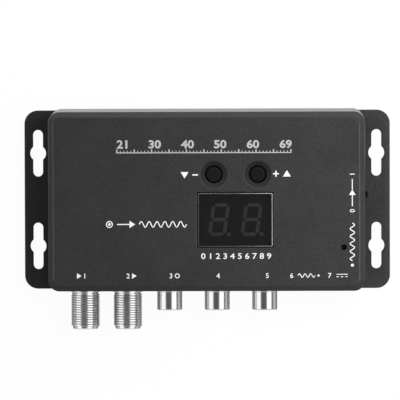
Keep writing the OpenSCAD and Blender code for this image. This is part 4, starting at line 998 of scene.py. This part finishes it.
def figures(text, x, y, tall, bold=0.0, wide=1.0):
    """Plain numbers, centred, made a mesh before they are placed"""
    half_t = 0.01
    curve = bpy.data.curves.new("figures", "FONT")
    curve.body, curve.size, curve.extrude, curve.offset, curve.resolution_u = text, 1, half_t, bold, 3
    shape = linked("figures", curve)
    mesh = baked(shape)
    bpy.data.objects.remove(shape)
    low, high = (Vector([pick(v.co[i] for v in mesh.vertices) for i in range(3)]) for pick in (min, max))
    middle, k = (low + high) / 2, tall / (high.y - low.y)
    lift = (ink_high - ink_low) / (2 * half_t)
    mesh.transform(Matrix.Scale(mm, 4) @ Matrix.Translation((x, y, (ink_low + ink_high) / 2))
                   @ Matrix.Diagonal((k * wide, k, lift, 1)) @ Matrix.Translation(-middle))
    return [bpy.data.objects.new("figures", mesh)]


ticks = Growth("ticks", Count="Int", Pitch="Float", Width="Float", Length="Float", Thickness="Float",
               Finish="Material")
count, pitch, width, length, thickness, ink = ticks.inputs
row = ticks.add("GeometryNodeMeshLine", {"Count": count, "Offset": ticks.vector(pitch)})
tick = ticks.add("GeometryNodeMeshCube", {"Size": ticks.vector(width, length, thickness)})
tick = ticks.add("GeometryNodeTransform", {"Geometry": tick, "Translation": ticks.vector(0, length / 2)})
number = ticks.add("GeometryNodeInputIndex")
tall = number.maths("MODULO", number, 5) < 0.5
grow = ticks.vector(1 + tall * 0.6, 0.55 + tall * 0.45, 1)
stood = ticks.add("GeometryNodeInstanceOnPoints", {"Points": row, "Instance": tick, "Scale": grow})
ticks.end(stood, ink)
pale_ink, soft_ink = inked("pale_ink", 235), inked("soft_grey_ink", 178)
dial_end, ink_middle = dial_l / 2 + 0.2, (ink_low + ink_high) / 2
dial = [grown("ticks", ticks, {
    "Count": dial_steps + 1, "Pitch": dial_l / dial_steps, "Width": 0.26, "Length": 0.95,
    "Thickness": ink_high - ink_low, "Finish": soft_ink},
    Matrix.Translation((dial_x - dial_l / 2, dial_y, ink_middle)))]
dial += dash(dial_x - dial_end, dial_x + dial_end, dial_y - 0.15, 0.3)
for i, label in enumerate(("21", "30", "40", "50", "60", "69")):
    dial += figures(label, dial_x + dial_l * (i / 5 - 0.5) * 0.94, dial_y + 2.65, 2.8, 0.03, 1.15)
fitted(joined("printed_dial", *dial), "white_plastic", soft_ink)
marks = (
    arrow(-7.2, minus_y, (0, -1), 2.1) + dash(-4.6, -2.8, minus_y, 0.42)
    + plus(23.0, plus_y, 1, 0.21) + arrow(26.6, plus_y, (0, 1), 2.1)
    + hoop(-32.1, flow_y, 1.15) + spot(-32.1, flow_y, 0.45)
    + dash(-29.6, -25.47, flow_y) + arrow(-24.6, flow_y, (1, 0), 1.9)
    + wave(-22.2, flow_y, 15.6, 0.95, 6)
    + figures("0 1 2 3 4 5 6 7 8 9", 9.78, window_row_y, 1.95, figure_bold, 1.17)
)
for i, x in enumerate(port_figure_xs):
    marks += figures(str(i + 1), x, port_row_y, figure_h, figure_bold)
marks += arrow(-42.2, port_row_y, (1, 0), 1.5) + arrow(-24.0, port_row_y, (1, 0), 1.5)
marks += hoop(-9.7, port_row_y, 0.8, 0.27)
marks += wave(30.2, port_row_y, 5.6, 0.6, 3, 0.27) + spot(37.0, port_row_y, 0.35)
marks += dash(42.9, 46.6, port_row_y + 0.4, 0.22)
for x in (42.9, 44.35, 45.8):
    marks += dash(x, x + 0.8, port_row_y - 0.4, 0.22)
side_row = joined("side_row", *(
    figures("0", 0.9, 0, figure_h, figure_bold) + dash(2.4, 6.1, 0, 0.3)
    + arrow(6.9, 0, (1, 0), 1.75) + dash(7.9, 11.4, 0, 0.3)
    + figures("1", 13.0, 0, figure_h, figure_bold)
    + spot(-17.1, 0, 0.5) + wave(-15.6, 0, 12.4, 0.75, 5, 0.32)
))
side_row.data.transform(
    Matrix.Translation(Vector((side_row_x, side_row_y, 0)) * mm) @ Matrix.Rotation(pi / 2, 4, "Z"))
fitted(joined("printed_marks", side_row, *marks), "white_plastic", pale_ink)

# What the closed box holds: boards, chips, the screened radio section, switches and pins. Their solids, and
# the contacts and blocks of the sockets, keep their shape and get their finish.
brass = plated("contact_brass", (205, 170, 95), roughness=0.22)
circuit = Finish("circuit_board", Coat_Weight=0.4, Coat_Roughness=0.2)
weave = circuit.noise(0.35, 2, (1, 2, 1))
circuit.drive(
    Base_Color=circuit.tint(weave, paint((20, 72, 44)), paint((26, 92, 56))), Roughness=0.35 + weave * 0.15)
circuit.bump(weave, 0.01)
chip = moulded("chip_black", 34, roughness=0.65)
ceramic = moulded("ceramic", (176, 160, 128), roughness=0.7)
ferrite = moulded("ferrite", 52, roughness=0.8, grain=0.15, depth=0.02)
can = plated("capacitor_can", 200, roughness=0.3)
by_slot = {
    "housing_plastic": dark_plastic, "key_plastic": key_plastic, "smoked_window": smoked.material,
    "plated_socket": nickel, "screw_steel": steel, "tinned_steel": tin, "contact_brass": brass,
    "circuit_board": circuit.material, "black_plastic": black_plastic, "chip_black": chip,
    "segment_plastic": segment, "white_plastic": white_plastic, "lamp_resin": resin.material,
    "ferrite": ferrite, "capacitor_can": can, "ceramic": ceramic,
}
for part in frame["record"]["subparts"]:
    if part["material_slot"] in by_slot:
        held = frame["nodes"][part["node"]]
        held.data.materials.clear()
        held.data.materials.append(by_slot[part["material_slot"]])
